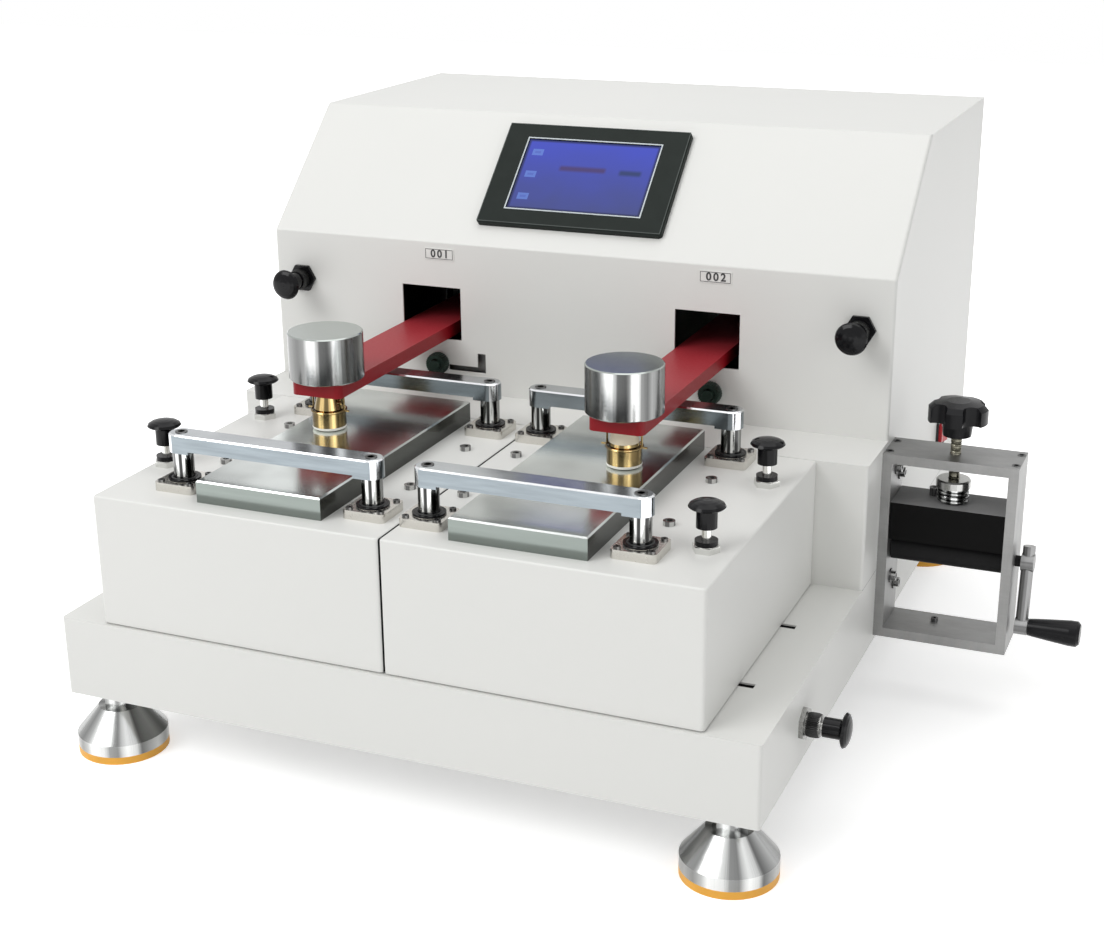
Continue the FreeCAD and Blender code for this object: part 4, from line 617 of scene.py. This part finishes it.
# %% A recipe with named sizes
class Recipe:
    kinds = {float: "NodeSocketFloat", int: "NodeSocketInt"}

    def __init__(self, name, **sizes):
        self.tree = bpy.data.node_groups.new(name, "GeometryNodeTree")
        self.tree.is_modifier = True
        face = self.tree.interface
        face.new_socket("Geometry", in_out="OUTPUT", socket_type="NodeSocketGeometry")
        face.new_socket("Marks", in_out="INPUT", socket_type="NodeSocketGeometry")
        for key, value in sizes.items():
            socket = face.new_socket(key, in_out="INPUT", socket_type=self.kinds[type(value)])
            socket.default_value = value
        face.new_socket("Finish", in_out="INPUT", socket_type="NodeSocketMaterial")
        self.entry = self.tree.nodes.new("NodeGroupInput")

    plug = Finish.plug
    add = Finish.add

    def size(self, key):
        return Wire(self, self.entry.outputs[key])

    def join(self, *shapes):
        node = self.tree.nodes.new("GeometryNodeJoinGeometry")
        for shape in shapes:
            self.tree.links.new(shape.socket, node.inputs[0])
        return Wire(self, node.outputs[0])

    def circle(self, corners, radius):
        """A closed curve whose radius is one of the named sizes."""
        inputs = {"Resolution": corners, "Radius": self.size(radius)}
        return self.add("GeometryNodeCurvePrimitiveCircle", inputs)

    def spiral(self, steps, turns, radius, height):
        inputs = {"Resolution": steps, "Rotations": turns, "Height": height}
        inputs.update({"Start Radius": self.size(radius), "End Radius": self.size(radius)})
        return self.add("GeometryNodeCurveSpiral", inputs)

    def raised(self, shape, height):
        lift = self.add("ShaderNodeCombineXYZ", {"Z": height})
        return self.add("GeometryNodeTransform", {"Geometry": shape, "Translation": lift})

    def spread(self, shape):
        """Sets the shape on each mark, its Z along the mark's facing."""
        facing = self.add(
            "GeometryNodeInputNamedAttribute", {"Name": "facing"}, "Attribute", data_type="FLOAT_VECTOR"
        )
        turn = self.add("FunctionNodeAlignRotationToVector", {"Vector": facing}, axis="Z")
        inputs = {"Points": self.size("Marks"), "Instance": shape, "Rotation": turn}
        return self.add("GeometryNodeInstanceOnPoints", inputs)

    def end(self, shape):
        whole = self.add("GeometryNodeRealizeInstances", [shape])
        dressed = self.add("GeometryNodeSetMaterial", {"Geometry": whole, "Material": self.size("Finish")})
        out = self.tree.nodes.new("NodeGroupOutput")
        self.tree.links.new(dressed.socket, out.inputs[0])
        return self

    def make(self, name, marks, finish, body, slot, **values):
        """Runs the recipe on marks, a list of (place, facing), and keeps a plain mesh."""
        mesh = bpy.data.meshes.new(name)
        mesh.from_pydata([place for place, facing in marks], [], [])
        layer = mesh.attributes.new("facing", "FLOAT_VECTOR", "POINT")
        for index, (place, facing) in enumerate(marks):
            layer.data[index].vector = facing
        item = bpy.data.objects.new(name, mesh)
        bpy.context.scene.collection.objects.link(item)
        modifier = item.modifiers.new("recipe", "NODES")
        modifier.node_group = self.tree
        values["Finish"] = finish
        for socket in self.tree.interface.items_tree:
            if socket.in_out == "INPUT" and socket.name in values:
                modifier[socket.identifier] = values[socket.name]
        graph = bpy.context.evaluated_depsgraph_get()
        made = bpy.data.meshes.new_from_object(item.evaluated_get(graph))
        item.modifiers.remove(modifier)
        item.data = made
        made.shade_smooth()
        made.set_sharp_from_angle(angle=math.radians(32))
        if body:
            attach(item, body)
        print(name, len(made.polygons), "faces on", body or "two bodies")
        return item


# %% The recipes: socket screw, knurled wheel, ring, coil and thread
def socket_screw():
    recipe = Recipe(
        "socket_screw", Head_radius=0.003, Head_height=0.003, Socket_radius=0.0016, Socket_depth=0.0016
    )
    loops = recipe.join(recipe.circle(24, "Head_radius"), recipe.circle(6, "Socket_radius"))
    face = recipe.add("GeometryNodeFillCurve", [loops], mode="NGONS")
    inputs = {"Mesh": face, "Offset Scale": recipe.size("Socket_depth"), "Individual": False}
    collar = recipe.add("GeometryNodeExtrudeMesh", inputs)
    rest = recipe.size("Head_height") - recipe.size("Socket_depth")
    collar = recipe.raised(collar, rest)
    inputs = {"Vertices": 24, "Radius": recipe.size("Head_radius"), "Depth": rest}
    floor = recipe.raised(recipe.add("GeometryNodeMeshCylinder", inputs), rest * 0.5)
    return recipe.end(recipe.spread(recipe.join(collar, floor)))


def knurled_wheel():
    recipe = Recipe("knurled_wheel", Teeth=36, Radius=0.008, Tooth=0.0006, Height=0.007, Crown=0.94)
    height = recipe.size("Height")
    inputs = {"Vertices": recipe.size("Teeth") * 2, "Radius": recipe.size("Radius"), "Depth": height}
    wheel = recipe.add("GeometryNodeMeshCylinder", {**inputs, "Side Segments": 4})
    place = recipe.add("GeometryNodeInputPosition")
    valley = recipe.add("GeometryNodeInputIndex").math("MODULO", 2.0)
    shrink = valley * recipe.size("Tooth") / recipe.size("Radius")
    end = recipe.add("ShaderNodeSeparateXYZ", [place], "Z").math("ABSOLUTE") > height * 0.4
    factor = 1 - shrink - end * (1 - recipe.size("Crown"))
    scale = recipe.add("ShaderNodeCombineXYZ", {"X": factor, "Y": factor, "Z": 1.0})
    moved = recipe.add("ShaderNodeVectorMath", [place, scale], operation="MULTIPLY")
    wheel = recipe.add("GeometryNodeSetPosition", {"Geometry": wheel, "Position": moved})
    return recipe.end(recipe.spread(recipe.raised(wheel, height * 0.5)))


def round_ring():
    recipe = Recipe("round_ring", Ring_radius=0.009, Wire_radius=0.001)
    inputs = {"Curve": recipe.circle(40, "Ring_radius"), "Profile Curve": recipe.circle(10, "Wire_radius")}
    ring = recipe.add("GeometryNodeCurveToMesh", inputs)
    return recipe.end(recipe.spread(recipe.raised(ring, recipe.size("Wire_radius"))))


def coil():
    recipe = Recipe(
        "coil", Turns=4.0, Steps=24, Coil_radius=0.0094, Wire_radius=0.0013, Height=0.0109, Sides=10
    )
    steps, turns, height = (recipe.size(key) for key in ("Steps", "Turns", "Height"))
    path = recipe.spiral(steps, turns, "Coil_radius", height)
    wire = recipe.circle(recipe.size("Sides"), "Wire_radius")
    inputs = {"Curve": path, "Profile Curve": wire, "Fill Caps": True}
    return recipe.end(recipe.spread(recipe.add("GeometryNodeCurveToMesh", inputs)))


def threaded_rod():
    recipe = Recipe("threaded_rod", Core_radius=0.0034, Ridge=0.00058, Pitch=0.00125, Height=0.052)
    height, pitch = recipe.size("Height"), recipe.size("Pitch")
    inputs = {"Vertices": 24, "Radius": recipe.size("Core_radius"), "Depth": height}
    core = recipe.raised(recipe.add("GeometryNodeMeshCylinder", inputs), height * 0.5)
    run = height - pitch
    path = recipe.spiral(16, run / pitch, "Core_radius", run)
    inputs = {"Curve": path, "Profile Curve": recipe.circle(4, "Ridge"), "Fill Caps": True}
    thread = recipe.raised(recipe.add("GeometryNodeCurveToMesh", inputs), pitch * 0.5)
    return recipe.end(recipe.spread(recipe.join(core, thread)))


screw_recipe, knurl_recipe, ring_recipe = socket_screw(), knurled_wheel(), round_ring()
coil_recipe, thread_recipe = coil(), threaded_rod()
screw_steel = plated("screw_steel", (0.36, 0.36, 0.35), (0.20, 0.20, 0.20), 0.25, shine=(0.55, 0.55, 0.54))
screw_dark = plated("screw_dark", (0.10, 0.10, 0.10), (0.10, 0.10, 0.10), 0.3, shine=(0.30, 0.30, 0.30))
seal_black = moulded("seal_black", (0.010, 0.010, 0.010), 0.45)
print("five recipes")

# %% [markdown]
# ## Screws
# Every bolted plate has its screws: four small ones in each guide flange, two flush ones in each
# clamp bar, four caps round each table, and the ones that hold the wringer's frame together.

# %% Socket screws where the photograph shows them
up, left, right, front = (0, 0, 1), (-1, 0, 0), (1, 0, 0), (0, -1, 0)
dark_screw, bright_screw = (screw_dark, "black_steel"), (screw_steel, "turned_steel")


def screws(name, marks, look, body, head, socket):
    """look is a finish and a slot name, and the slot name is not used; head and socket are each a radius and a
    height.
    """
    keys = ("Head_radius", "Head_height", "Socket_radius", "Socket_depth")
    screw_recipe.make(name, marks, look[0], body, look[1], **dict(zip(keys, head + socket)))


# half the pitch of a flange's four screws, and where the caps beside the tables are
hole, cap_x, cap_lines = 0.0112, 0.072, (-0.2137, -0.1275)
flange_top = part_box("clamp_flanges_left")[1].z - 0.0015
stage_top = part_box("stage_box_left")[1].z
for side, station in stations.items():
    stage = "stage_" + side
    posts = [(station + x, y) for x in (-half_pitch, half_pitch) for y in post_lines.values()]
    spots = [(x + a, y + b) for x, y in posts for a in (-hole, hole) for b in (-hole, hole)]
    marks = [((x, y, flange_top - 0.0002), up) for x, y in spots]
    screws("flange_screws_" + side, marks, dark_screw, stage, (0.0023, 0.0014), (0.0012, 0.0009))
    marks = [((x, y, flange_top + 0.0002), up) for x, y in posts]
    sizes = {"Ring_radius": 0.0080, "Wire_radius": 0.0009}
    ring_recipe.make("post_seals_" + side, marks, seal_black, stage, "rubber", **sizes)
    spots = [(station + x, y) for x in (-cap_x, cap_x) for y in cap_lines]
    marks = [((x, y, stage_top - 0.0003), up) for x, y in spots]
    screws("stage_screws_" + side, marks, bright_screw, stage, (0.0040, 0.0034), (0.0024, 0.0018))
    for end, y in post_lines.items():
        clamp = "%s_%s" % (side, end)
        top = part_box("clamp_bar_" + clamp)[1].z
        marks = [((station + x, y, top - 0.0001), up) for x in (-half_pitch, half_pitch)]
        head, socket = (0.0042, 0.0005), (0.0026, 0.0004)
        screws("bar_screws_" + clamp, marks, dark_screw, "clamp_" + clamp, head, socket)

inner_low, inner_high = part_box("wringer_side_inner")
outer_low, outer_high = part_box("wringer_side_outer")
frame_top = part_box("wringer_top_bar")[1].z
roller_y = (inner_low.y + inner_high.y) / 2
ends = [(inner_low.x + inner_high.x) / 2, (outer_low.x + outer_high.x) / 2]
marks = [((x, roller_y + y, frame_top - 0.0001), up) for x in ends for y in (-0.012, 0.012)]
screws("frame_screws", marks, dark_screw, "frame", (0.0030, 0.0004), (0.0019, 0.0003))
spots = [(-0.003, 0.1785), (0.010, 0.1705), (-0.003, 0.094), (0.010, 0.084)]
marks = [((inner_high.x - 0.0002, roller_y + y, z), right) for y, z in spots]
screws("side_screws", marks, bright_screw, "frame", (0.0036, 0.0045), (0.0022, 0.002))
screws("side_washers", marks, dark_screw, "frame", (0.0055, 0.0012), (0.003, 0.0004))
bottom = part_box("wringer_bottom_bar")[1].z
marks = [(((inner_low.x + outer_high.x) / 2 - 0.008, roller_y + 0.006, bottom - 0.0002), up)]
screws("bottom_screw", marks, dark_screw, "frame", (0.0026, 0.0028), (0.0015, 0.0012))

# %% [markdown]
# ## Knurls
# The sleeves of the side and front plungers are knurled to be gripped, and a small knurled knob
# sits on the front wall below each arm. A knurl is a wheel whose every second edge is pulled in.

# %% Knurled collars and knobs
knurl_black = moulded("knurl_black", (0.008, 0.008, 0.008), 0.3, gloss=0.5)
knurl_green = plated("knurl_green", (0.07, 0.10, 0.085), (0.04, 0.06, 0.05), 0.35, shine=(0.05, 0.08, 0.065))
side_y, side_z = -0.213, 0.0745
cabinet_low, cabinet_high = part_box("cabinet")
front_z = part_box("plunger_cabinet_left")[0].z / 2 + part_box("plunger_cabinet_left")[1].z / 2
nut = 0.0034
marks = [((cabinet_high.x + nut, side_y, side_z), right), ((cabinet_low.x - nut, side_y, side_z), left)]
for side in ("left", "right"):
    low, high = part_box("plunger_cabinet_" + side)
    marks.append((((low.x + high.x) / 2, -nut, front_z), front))
sizes = {"Radius": 0.0081, "Tooth": 0.0006, "Height": 0.0085, "Teeth": 40}
knurl_recipe.make("plunger_collars", marks, knurl_black, "frame", "black_steel", **sizes)
spots = (stations["left"] - 0.0098, stations["right"] + 0.0303)
knob_rise = 0.2195
marks = [((x, 0.0, knob_rise), front) for x in spots]
sizes = {"Radius": 0.0088, "Tooth": 0.0008, "Height": 0.009, "Teeth": 30}
knurl_recipe.make("wall_knobs", marks, knurl_green, "frame", "black_steel", **sizes)
sizes = {"Radius": 0.0052, "Tooth": 0.0002, "Height": 0.0115, "Teeth": 20, "Crown": 0.8}
knurl_recipe.make("wall_knob_studs", marks, knurl_green, "frame", "black_steel", **sizes)

# %% [markdown]
# ## The wringer's screw and spring
# The pressure screw is threaded along its whole length, and a coil spring stands between the
# plate and the cup. Both are helices: a spiral curve swept by a small round or square wire.

# %% Threaded pressure screw and coil spring
thread_olive = plated("thread_olive", (0.30, 0.29, 0.24), (0.22, 0.21, 0.17), 0.34, shine=(0.26, 0.25, 0.20))
low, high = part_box("pressure_screw")
axis_x, axis_y = (low.x + high.x) / 2, (low.y + high.y) / 2
marks = [((axis_x, axis_y, low.z), up)]
screw = thread_recipe.make(
    "pressure_thread", marks, thread_olive, "press_screw", "chrome_steel", Height=high.z - low.z
)
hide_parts("pressure_screw")
low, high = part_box("press_spring")
spring_chrome = banded("spring_chrome", post_bands, (axis_x, axis_y, 0), rough=0.14)
marks = [((axis_x, axis_y, low.z + 0.0014), up)]
sizes = {"Turns": 3.6, "Coil_radius": 0.0101, "Wire_radius": 0.0014, "Height": high.z - low.z - 0.0028}
spring = coil_recipe.make("coil_spring", marks, spring_chrome, None, "spring_steel", **sizes)
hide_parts("press_spring")
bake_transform(spring)
marks = [((axis_x - 0.0145, axis_y + 0.008, low.z - 0.0002), up)]
screws("plate_screw", marks, dark_screw, "press_plate", (0.0036, 0.0062), (0.0018, 0.0012))

# %% [markdown]
# ## Small plain pieces
# A few pieces occur once or twice: the painted highlight lines round the screen and the bezel, the numbered
# plates over the arms, the white rubbing cloth under each finger and the collar on the right one. They are made
# point by point: a frame from two rectangles, and round pieces by turning an outline. Small parts on the left
# finger and the threads below the base come from the recipes above.

# %% Helpers for a piece from faces
def keep_mesh(name, mesh, finish, body):
    mesh.materials.clear()
    mesh.materials.append(finish)
    item = bpy.data.objects.new(name, mesh)
    bpy.context.scene.collection.objects.link(item)
    mesh.shade_smooth()
    mesh.set_sharp_from_angle(angle=math.radians(32))
    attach(item, body)
    print(name, len(mesh.polygons), "faces on", body)


def turned_piece(name, outline, centre, finish, body, steps=48):
    """Turns an outline of (radius, height), from axis to axis, about an upright axis."""
    form = bmesh.new()
    rows = []
    for radius, height in outline:
        count = steps if radius else 1
        row = []
        for index in range(count):
            angle = 2 * math.pi * index / steps
            spot = (centre[0] + radius * math.cos(angle), centre[1] + radius * math.sin(angle), height)
            row.append(form.verts.new(spot))
        rows.append(row)
    for low, high in zip(rows, rows[1:]):
        for index in range(steps):
            after = index + 1
            loop = [low[index % len(low)], low[after % len(low)]]
            loop += [high[after % len(high)], high[index % len(high)]]
            form.faces.new(list(dict.fromkeys(loop)))
    bmesh.ops.recalc_face_normals(form, faces=form.faces)
    mesh = bpy.data.meshes.new(name)
    form.to_mesh(mesh)
    keep_mesh(name, mesh, finish, body)


def framed(wide, tall, line, thick, place, solid=False):
    """A flat rectangular frame, or a plate, standing thick out of the plane of place."""
    form = bmesh.new()
    outer = [(x * wide / 2, y * tall / 2) for x, y in ((-1, -1), (1, -1), (1, 1), (-1, 1))]
    inner = [(x - line * (1 if x > 0 else -1), y - line * (1 if y > 0 else -1)) for x, y in outer]
    levels = [(loop, z) for loop in (outer, inner) for z in (0, thick)]
    rings = [[form.verts.new((x, y, z)) for x, y in loop] for loop, z in levels]
    low, high, inner_low, inner_high = rings
    for a, b in ((0, 1), (1, 2), (2, 3), (3, 0)):
        form.faces.new((low[a], low[b], high[b], high[a]))
        if not solid:
            form.faces.new((high[a], high[b], inner_high[b], inner_high[a]))
            form.faces.new((inner_high[a], inner_high[b], inner_low[b], inner_low[a]))
            form.faces.new((inner_low[a], inner_low[b], low[b], low[a]))
    if solid:
        bmesh.ops.delete(form, geom=inner_low + inner_high)
        form.faces.new(high)
        form.faces.new(list(reversed(low)))
        edges = [edge for edge in form.edges if all(v.co.z > thick / 2 for v in edge.verts)]
        bmesh.ops.bevel(form, geom=edges, offset=thick * 0.4, segments=2, affect="EDGES")
    bmesh.ops.recalc_face_normals(form, faces=form.faces)
    form.transform(place)
    mesh = bpy.data.meshes.new("framed")
    form.to_mesh(mesh)
    return mesh


# %% Painted highlights round the screen and the bezel
across, uphill = Vector((1, 0, 0)), Vector((0, math.cos(slope_angle), math.sin(slope_angle)))
outward = across.cross(uphill)
glass_low, glass_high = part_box("hmi_screen")
face_centre = (glass_low + glass_high) / 2 + outward * 0.0014
panel_place = Matrix.Translation(face_centre) @ Matrix((across, uphill, outward)).transposed().to_4x4()
rim_highlight = moulded("screen_rim_highlight", (0.46, 0.50, 0.52), 0.35)
sunk = Matrix.Translation((0, 0, -0.0001))
# thin light strips along the edge of the screen's opening and round the bezel: painted highlights
mesh = framed(0.1108, 0.0688, 0.0010, 0.0004, panel_place @ sunk)
keep_mesh("screen_highlight_strip", mesh, rim_highlight, "frame")
mesh = framed(0.1484, 0.0944, 0.0006, 0.0003, panel_place @ sunk)
bezel_highlight = moulded("bezel_highlight", (0.06, 0.07, 0.066), 0.4, gloss=0.2)
keep_mesh("bezel_highlight_strip", mesh, bezel_highlight, "frame")

# %% Numbered plates over the arms
plate_white = moulded("plate_white", (0.66, 0.66, 0.64), 0.35, 500.0)
ink = moulded("ink", (0.07, 0.07, 0.072), 0.5, gloss=0.1)
wall = Matrix((Vector((1, 0, 0)), Vector((0, 0, 1)), Vector((0, -1, 0)))).transposed().to_4x4()
for digit, x, z in (("1", -0.1611, 0.3058), ("2", 0.0614, 0.3063)):
    place = Matrix.Translation((x, 0.0001, z)) @ wall
    plate = framed(0.0252, 0.0094, 0.001, 0.0006, place, solid=True)
    keep_mesh("number_plate_" + digit, plate, plate_white, "frame")
    rise = Matrix.Translation((0, 0, 0.0004))
    border = framed(0.0232, 0.0076, 0.0004, 0.0003, place @ rise)
    keep_mesh("number_border_" + digit, border, ink, "frame")
    letter = bpy.data.curves.new("number", "FONT")
    letter.body = "00" + digit
    letter.size = 0.0082
    letter.space_character = 1.35
    letter.extrude = 0.00015
    letter.offset = 0.00022
    letter.align_x = "CENTER"
    letter.align_y = "CENTER"
    holder = bpy.data.objects.new("number", letter)
    bpy.context.scene.collection.objects.link(holder)
    graph = bpy.context.evaluated_depsgraph_get()
    mesh = bpy.data.meshes.new_from_object(holder.evaluated_get(graph))
    bpy.data.objects.remove(holder)
    mesh.transform(place @ Matrix.Translation((0.0005, 0, 0.00062)))
    keep_mesh("number_" + digit, mesh, ink, "frame")

# %% Rubbing cloth, neck collar and thumb screw of the fingers
felt_white = moulded("felt_white", (0.72, 0.71, 0.66), 0.8, 1600.0, 0.0001)
cream = moulded("cream_collar", (0.70, 0.64, 0.50), 0.55, 900.0)
for side in ("left", "right"):
    low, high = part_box("finger_" + side)
    axis = ((low.x + high.x) / 2, (low.y + high.y) / 2)
    body = "rubbing_arm_" + side
    foot = low.z + 0.00005
    rim = [(0.0106, 0), (0.0118, 0.0006), (0.0122, 0.0015), (0.0121, 0.0022), (0.0117, 0.0025)]
    outline = [(radius, foot + height) for radius, height in [(0, 0), *rim, (0, 0.0025)]]
    turned_piece("rubbing_cloth_" + side, outline, axis, felt_white, body)
    if side == "right":
        outline = [(0, 0.2283), (0.0098, 0.2283), (0.0101, 0.2295), (0.0092, 0.2330), (0.0096, 0.2372)]
        outline += [(0.0102, 0.2392), (0.0098, 0.2399), (0, 0.2399)]
        turned_piece("neck_collar_right", outline, axis, cream, body)
    else:
        sizes = {"Radius": 0.0031, "Tooth": 0.0004, "Height": 0.0052, "Teeth": 18, "Crown": 0.85}
        marks = [((axis[0] + 0.0072, axis[1] - 0.001, 0.2338), (1, -0.1, 0))]
        knurl_recipe.make("thumb_screw_left", marks, brass, body, "brass", **sizes)
        sizes = {"Ring_radius": 0.0086, "Wire_radius": 0.0009}
        marks = [((axis[0], axis[1], 0.2365), up), ((axis[0], axis[1], 0.2288), up)]
        ring_recipe.make("neck_rings_left", marks, brass, body, "brass", **sizes)

# %% Threads on the levelling studs
stud_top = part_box("base_plinth")[0].z
spots = [(feet_middle + x, y) for x in (-foot_x, foot_x) for y in (-foot_y, foot_y)]
marks = [((x, y, stud_top - 0.0037), up) for x, y in spots]
sizes = {"Turns": 2.6, "Coil_radius": 0.0068, "Wire_radius": 0.0005, "Height": 0.0033}
coil_recipe.make("stud_threads", marks, screw_steel, "frame", "turned_steel", **sizes)

# %% [markdown]
# ## Studio
# A white floor, a large soft key from the front left and above, a wide lamp overhead and a weak
# fill. The background is full white for the camera and in reflections, and lights the object at
# less than half of that. The floor keeps the soft shadow and turns into the same white further out.

# %% Floor
def studio_floor():
    mesh = bpy.data.meshes.new("floor")
    reach = 4.0
    spots = [(x * reach, y * reach, 0) for x, y in ((-1, -1), (1, -1), (1, 1), (-1, 1))]
    mesh.from_pydata(spots, [], [(0, 1, 2, 3)])
    floor = bpy.data.objects.new("floor", mesh)
    bpy.context.scene.collection.objects.link(floor)
    paint = Finish("floor_white", (0.93, 0.93, 0.93), 0.7, Specular_IOR_Level=0.1)
    where = paint.place()
    x, y = paint.split(where, "X"), paint.split(where, "Y")
    near, steep = 0.30, 1.8
    glow_near, glow_more = 0.42, 0.7
    far = ((x * x + y * y).math("SQRT") - near) * steep
    far = paint.add("ShaderNodeClamp", [far, 0.0, 1.0])
    seen = paint.add("ShaderNodeLightPath", out="Is Camera Ray")
    for other in ("Is Glossy Ray", "Is Transmission Ray"):
        seen = seen.math("MAXIMUM", paint.add("ShaderNodeLightPath", out=other))
    paint.set("Emission Color", (1, 1, 1, 1))
    paint.set("Emission Strength", seen * (far * glow_more + glow_near))
    mesh.materials.append(paint.material)
    floor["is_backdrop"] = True


studio_floor()


# %% Lamps and air
def area_lamp(name, place, target, size, watts):
    data = bpy.data.lights.new(name, "AREA")
    data.shape = "RECTANGLE"
    data.size, data.size_y = size
    data.energy = watts
    lamp = bpy.data.objects.new(name, data)
    bpy.context.scene.collection.objects.link(lamp)
    lamp.location = place
    aim = Vector(target) - Vector(place)
    lamp.rotation_euler = aim.to_track_quat("-Z", "Y").to_euler()


area_lamp("key", (-1.3, -2.0, 2.2), (0, 0, 0.15), (1.8, 1.4), 39)
area_lamp("top", (0.1, 0.1, 2.6), (0, 0, 0), (2.4, 2.4), 22)
area_lamp("fill", (2.4, -1.6, 1.0), (0, 0, 0.2), (1.4, 1.6), 7)

world = bpy.data.worlds.new("studio_air")
bpy.context.scene.world = world
world.use_nodes = True
air = world.node_tree
background = air.nodes["Background"]
background.inputs["Color"].default_value = (1, 1, 1, 1)
path = air.nodes.new("ShaderNodeLightPath")
seen = path.outputs["Is Camera Ray"]
for other in ("Is Glossy Ray", "Is Transmission Ray"):
    either = air.nodes.new("ShaderNodeMath")
    either.operation = "MAXIMUM"
    air.links.new(seen, either.inputs[0])
    air.links.new(path.outputs[other], either.inputs[1])
    seen = either.outputs[0]
unseen_light, seen_light = 0.42, 1.0
choose = air.nodes.new("ShaderNodeMapRange")
air.links.new(seen, choose.inputs["Value"])
choose.inputs["To Min"].default_value = unseen_light
choose.inputs["To Max"].default_value = seen_light
air.links.new(choose.outputs["Result"], background.inputs["Strength"])
print("three lamps and a white room")

# %% [markdown]
# ## Camera
# The camera stands where the photograph was taken from. Its place, turn and lens were worked
# out from the machine's straight edges, so the render lies over the photograph.

# %% Camera
azimuth, elevation, roll = (math.radians(v) for v in (22.95, 19.49, -0.51))
flat = math.cos(elevation)
back = Vector((math.sin(azimuth) * flat, -math.cos(azimuth) * flat, math.sin(elevation)))
level = Vector((math.cos(azimuth), math.sin(azimuth), 0))
upward = back.cross(level)
sideways = level * math.cos(roll) + upward * math.sin(roll)
upward = upward * math.cos(roll) - level * math.sin(roll)
lens = bpy.data.cameras.new("photo_camera")
lens.sensor_fit = "HORIZONTAL"
# the lens is 1793.71 pixels long in a picture 1104 pixels wide
focal, wide, sensor = 1793.71, 1104, 36
lens.sensor_width = sensor
lens.lens = focal / wide * sensor
camera = bpy.data.objects.new("photo_camera", lens)
bpy.context.scene.collection.objects.link(camera)
turn = Matrix((sideways, upward, back)).transposed().to_4x4()
place = (0.44666, -1.21660, 0.60755)
camera.matrix_world = Matrix.Translation(place) @ turn
bpy.context.scene.camera = camera
bpy.context.scene.view_settings.view_transform = "Standard"
print("lens", round(lens.lens, 2), "mm")

# %% Gather the sizes of the solids and of the scene
sizes = {"solids": [list(corner) for corner in solid_box], "scene": [list(corner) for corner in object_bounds()]}
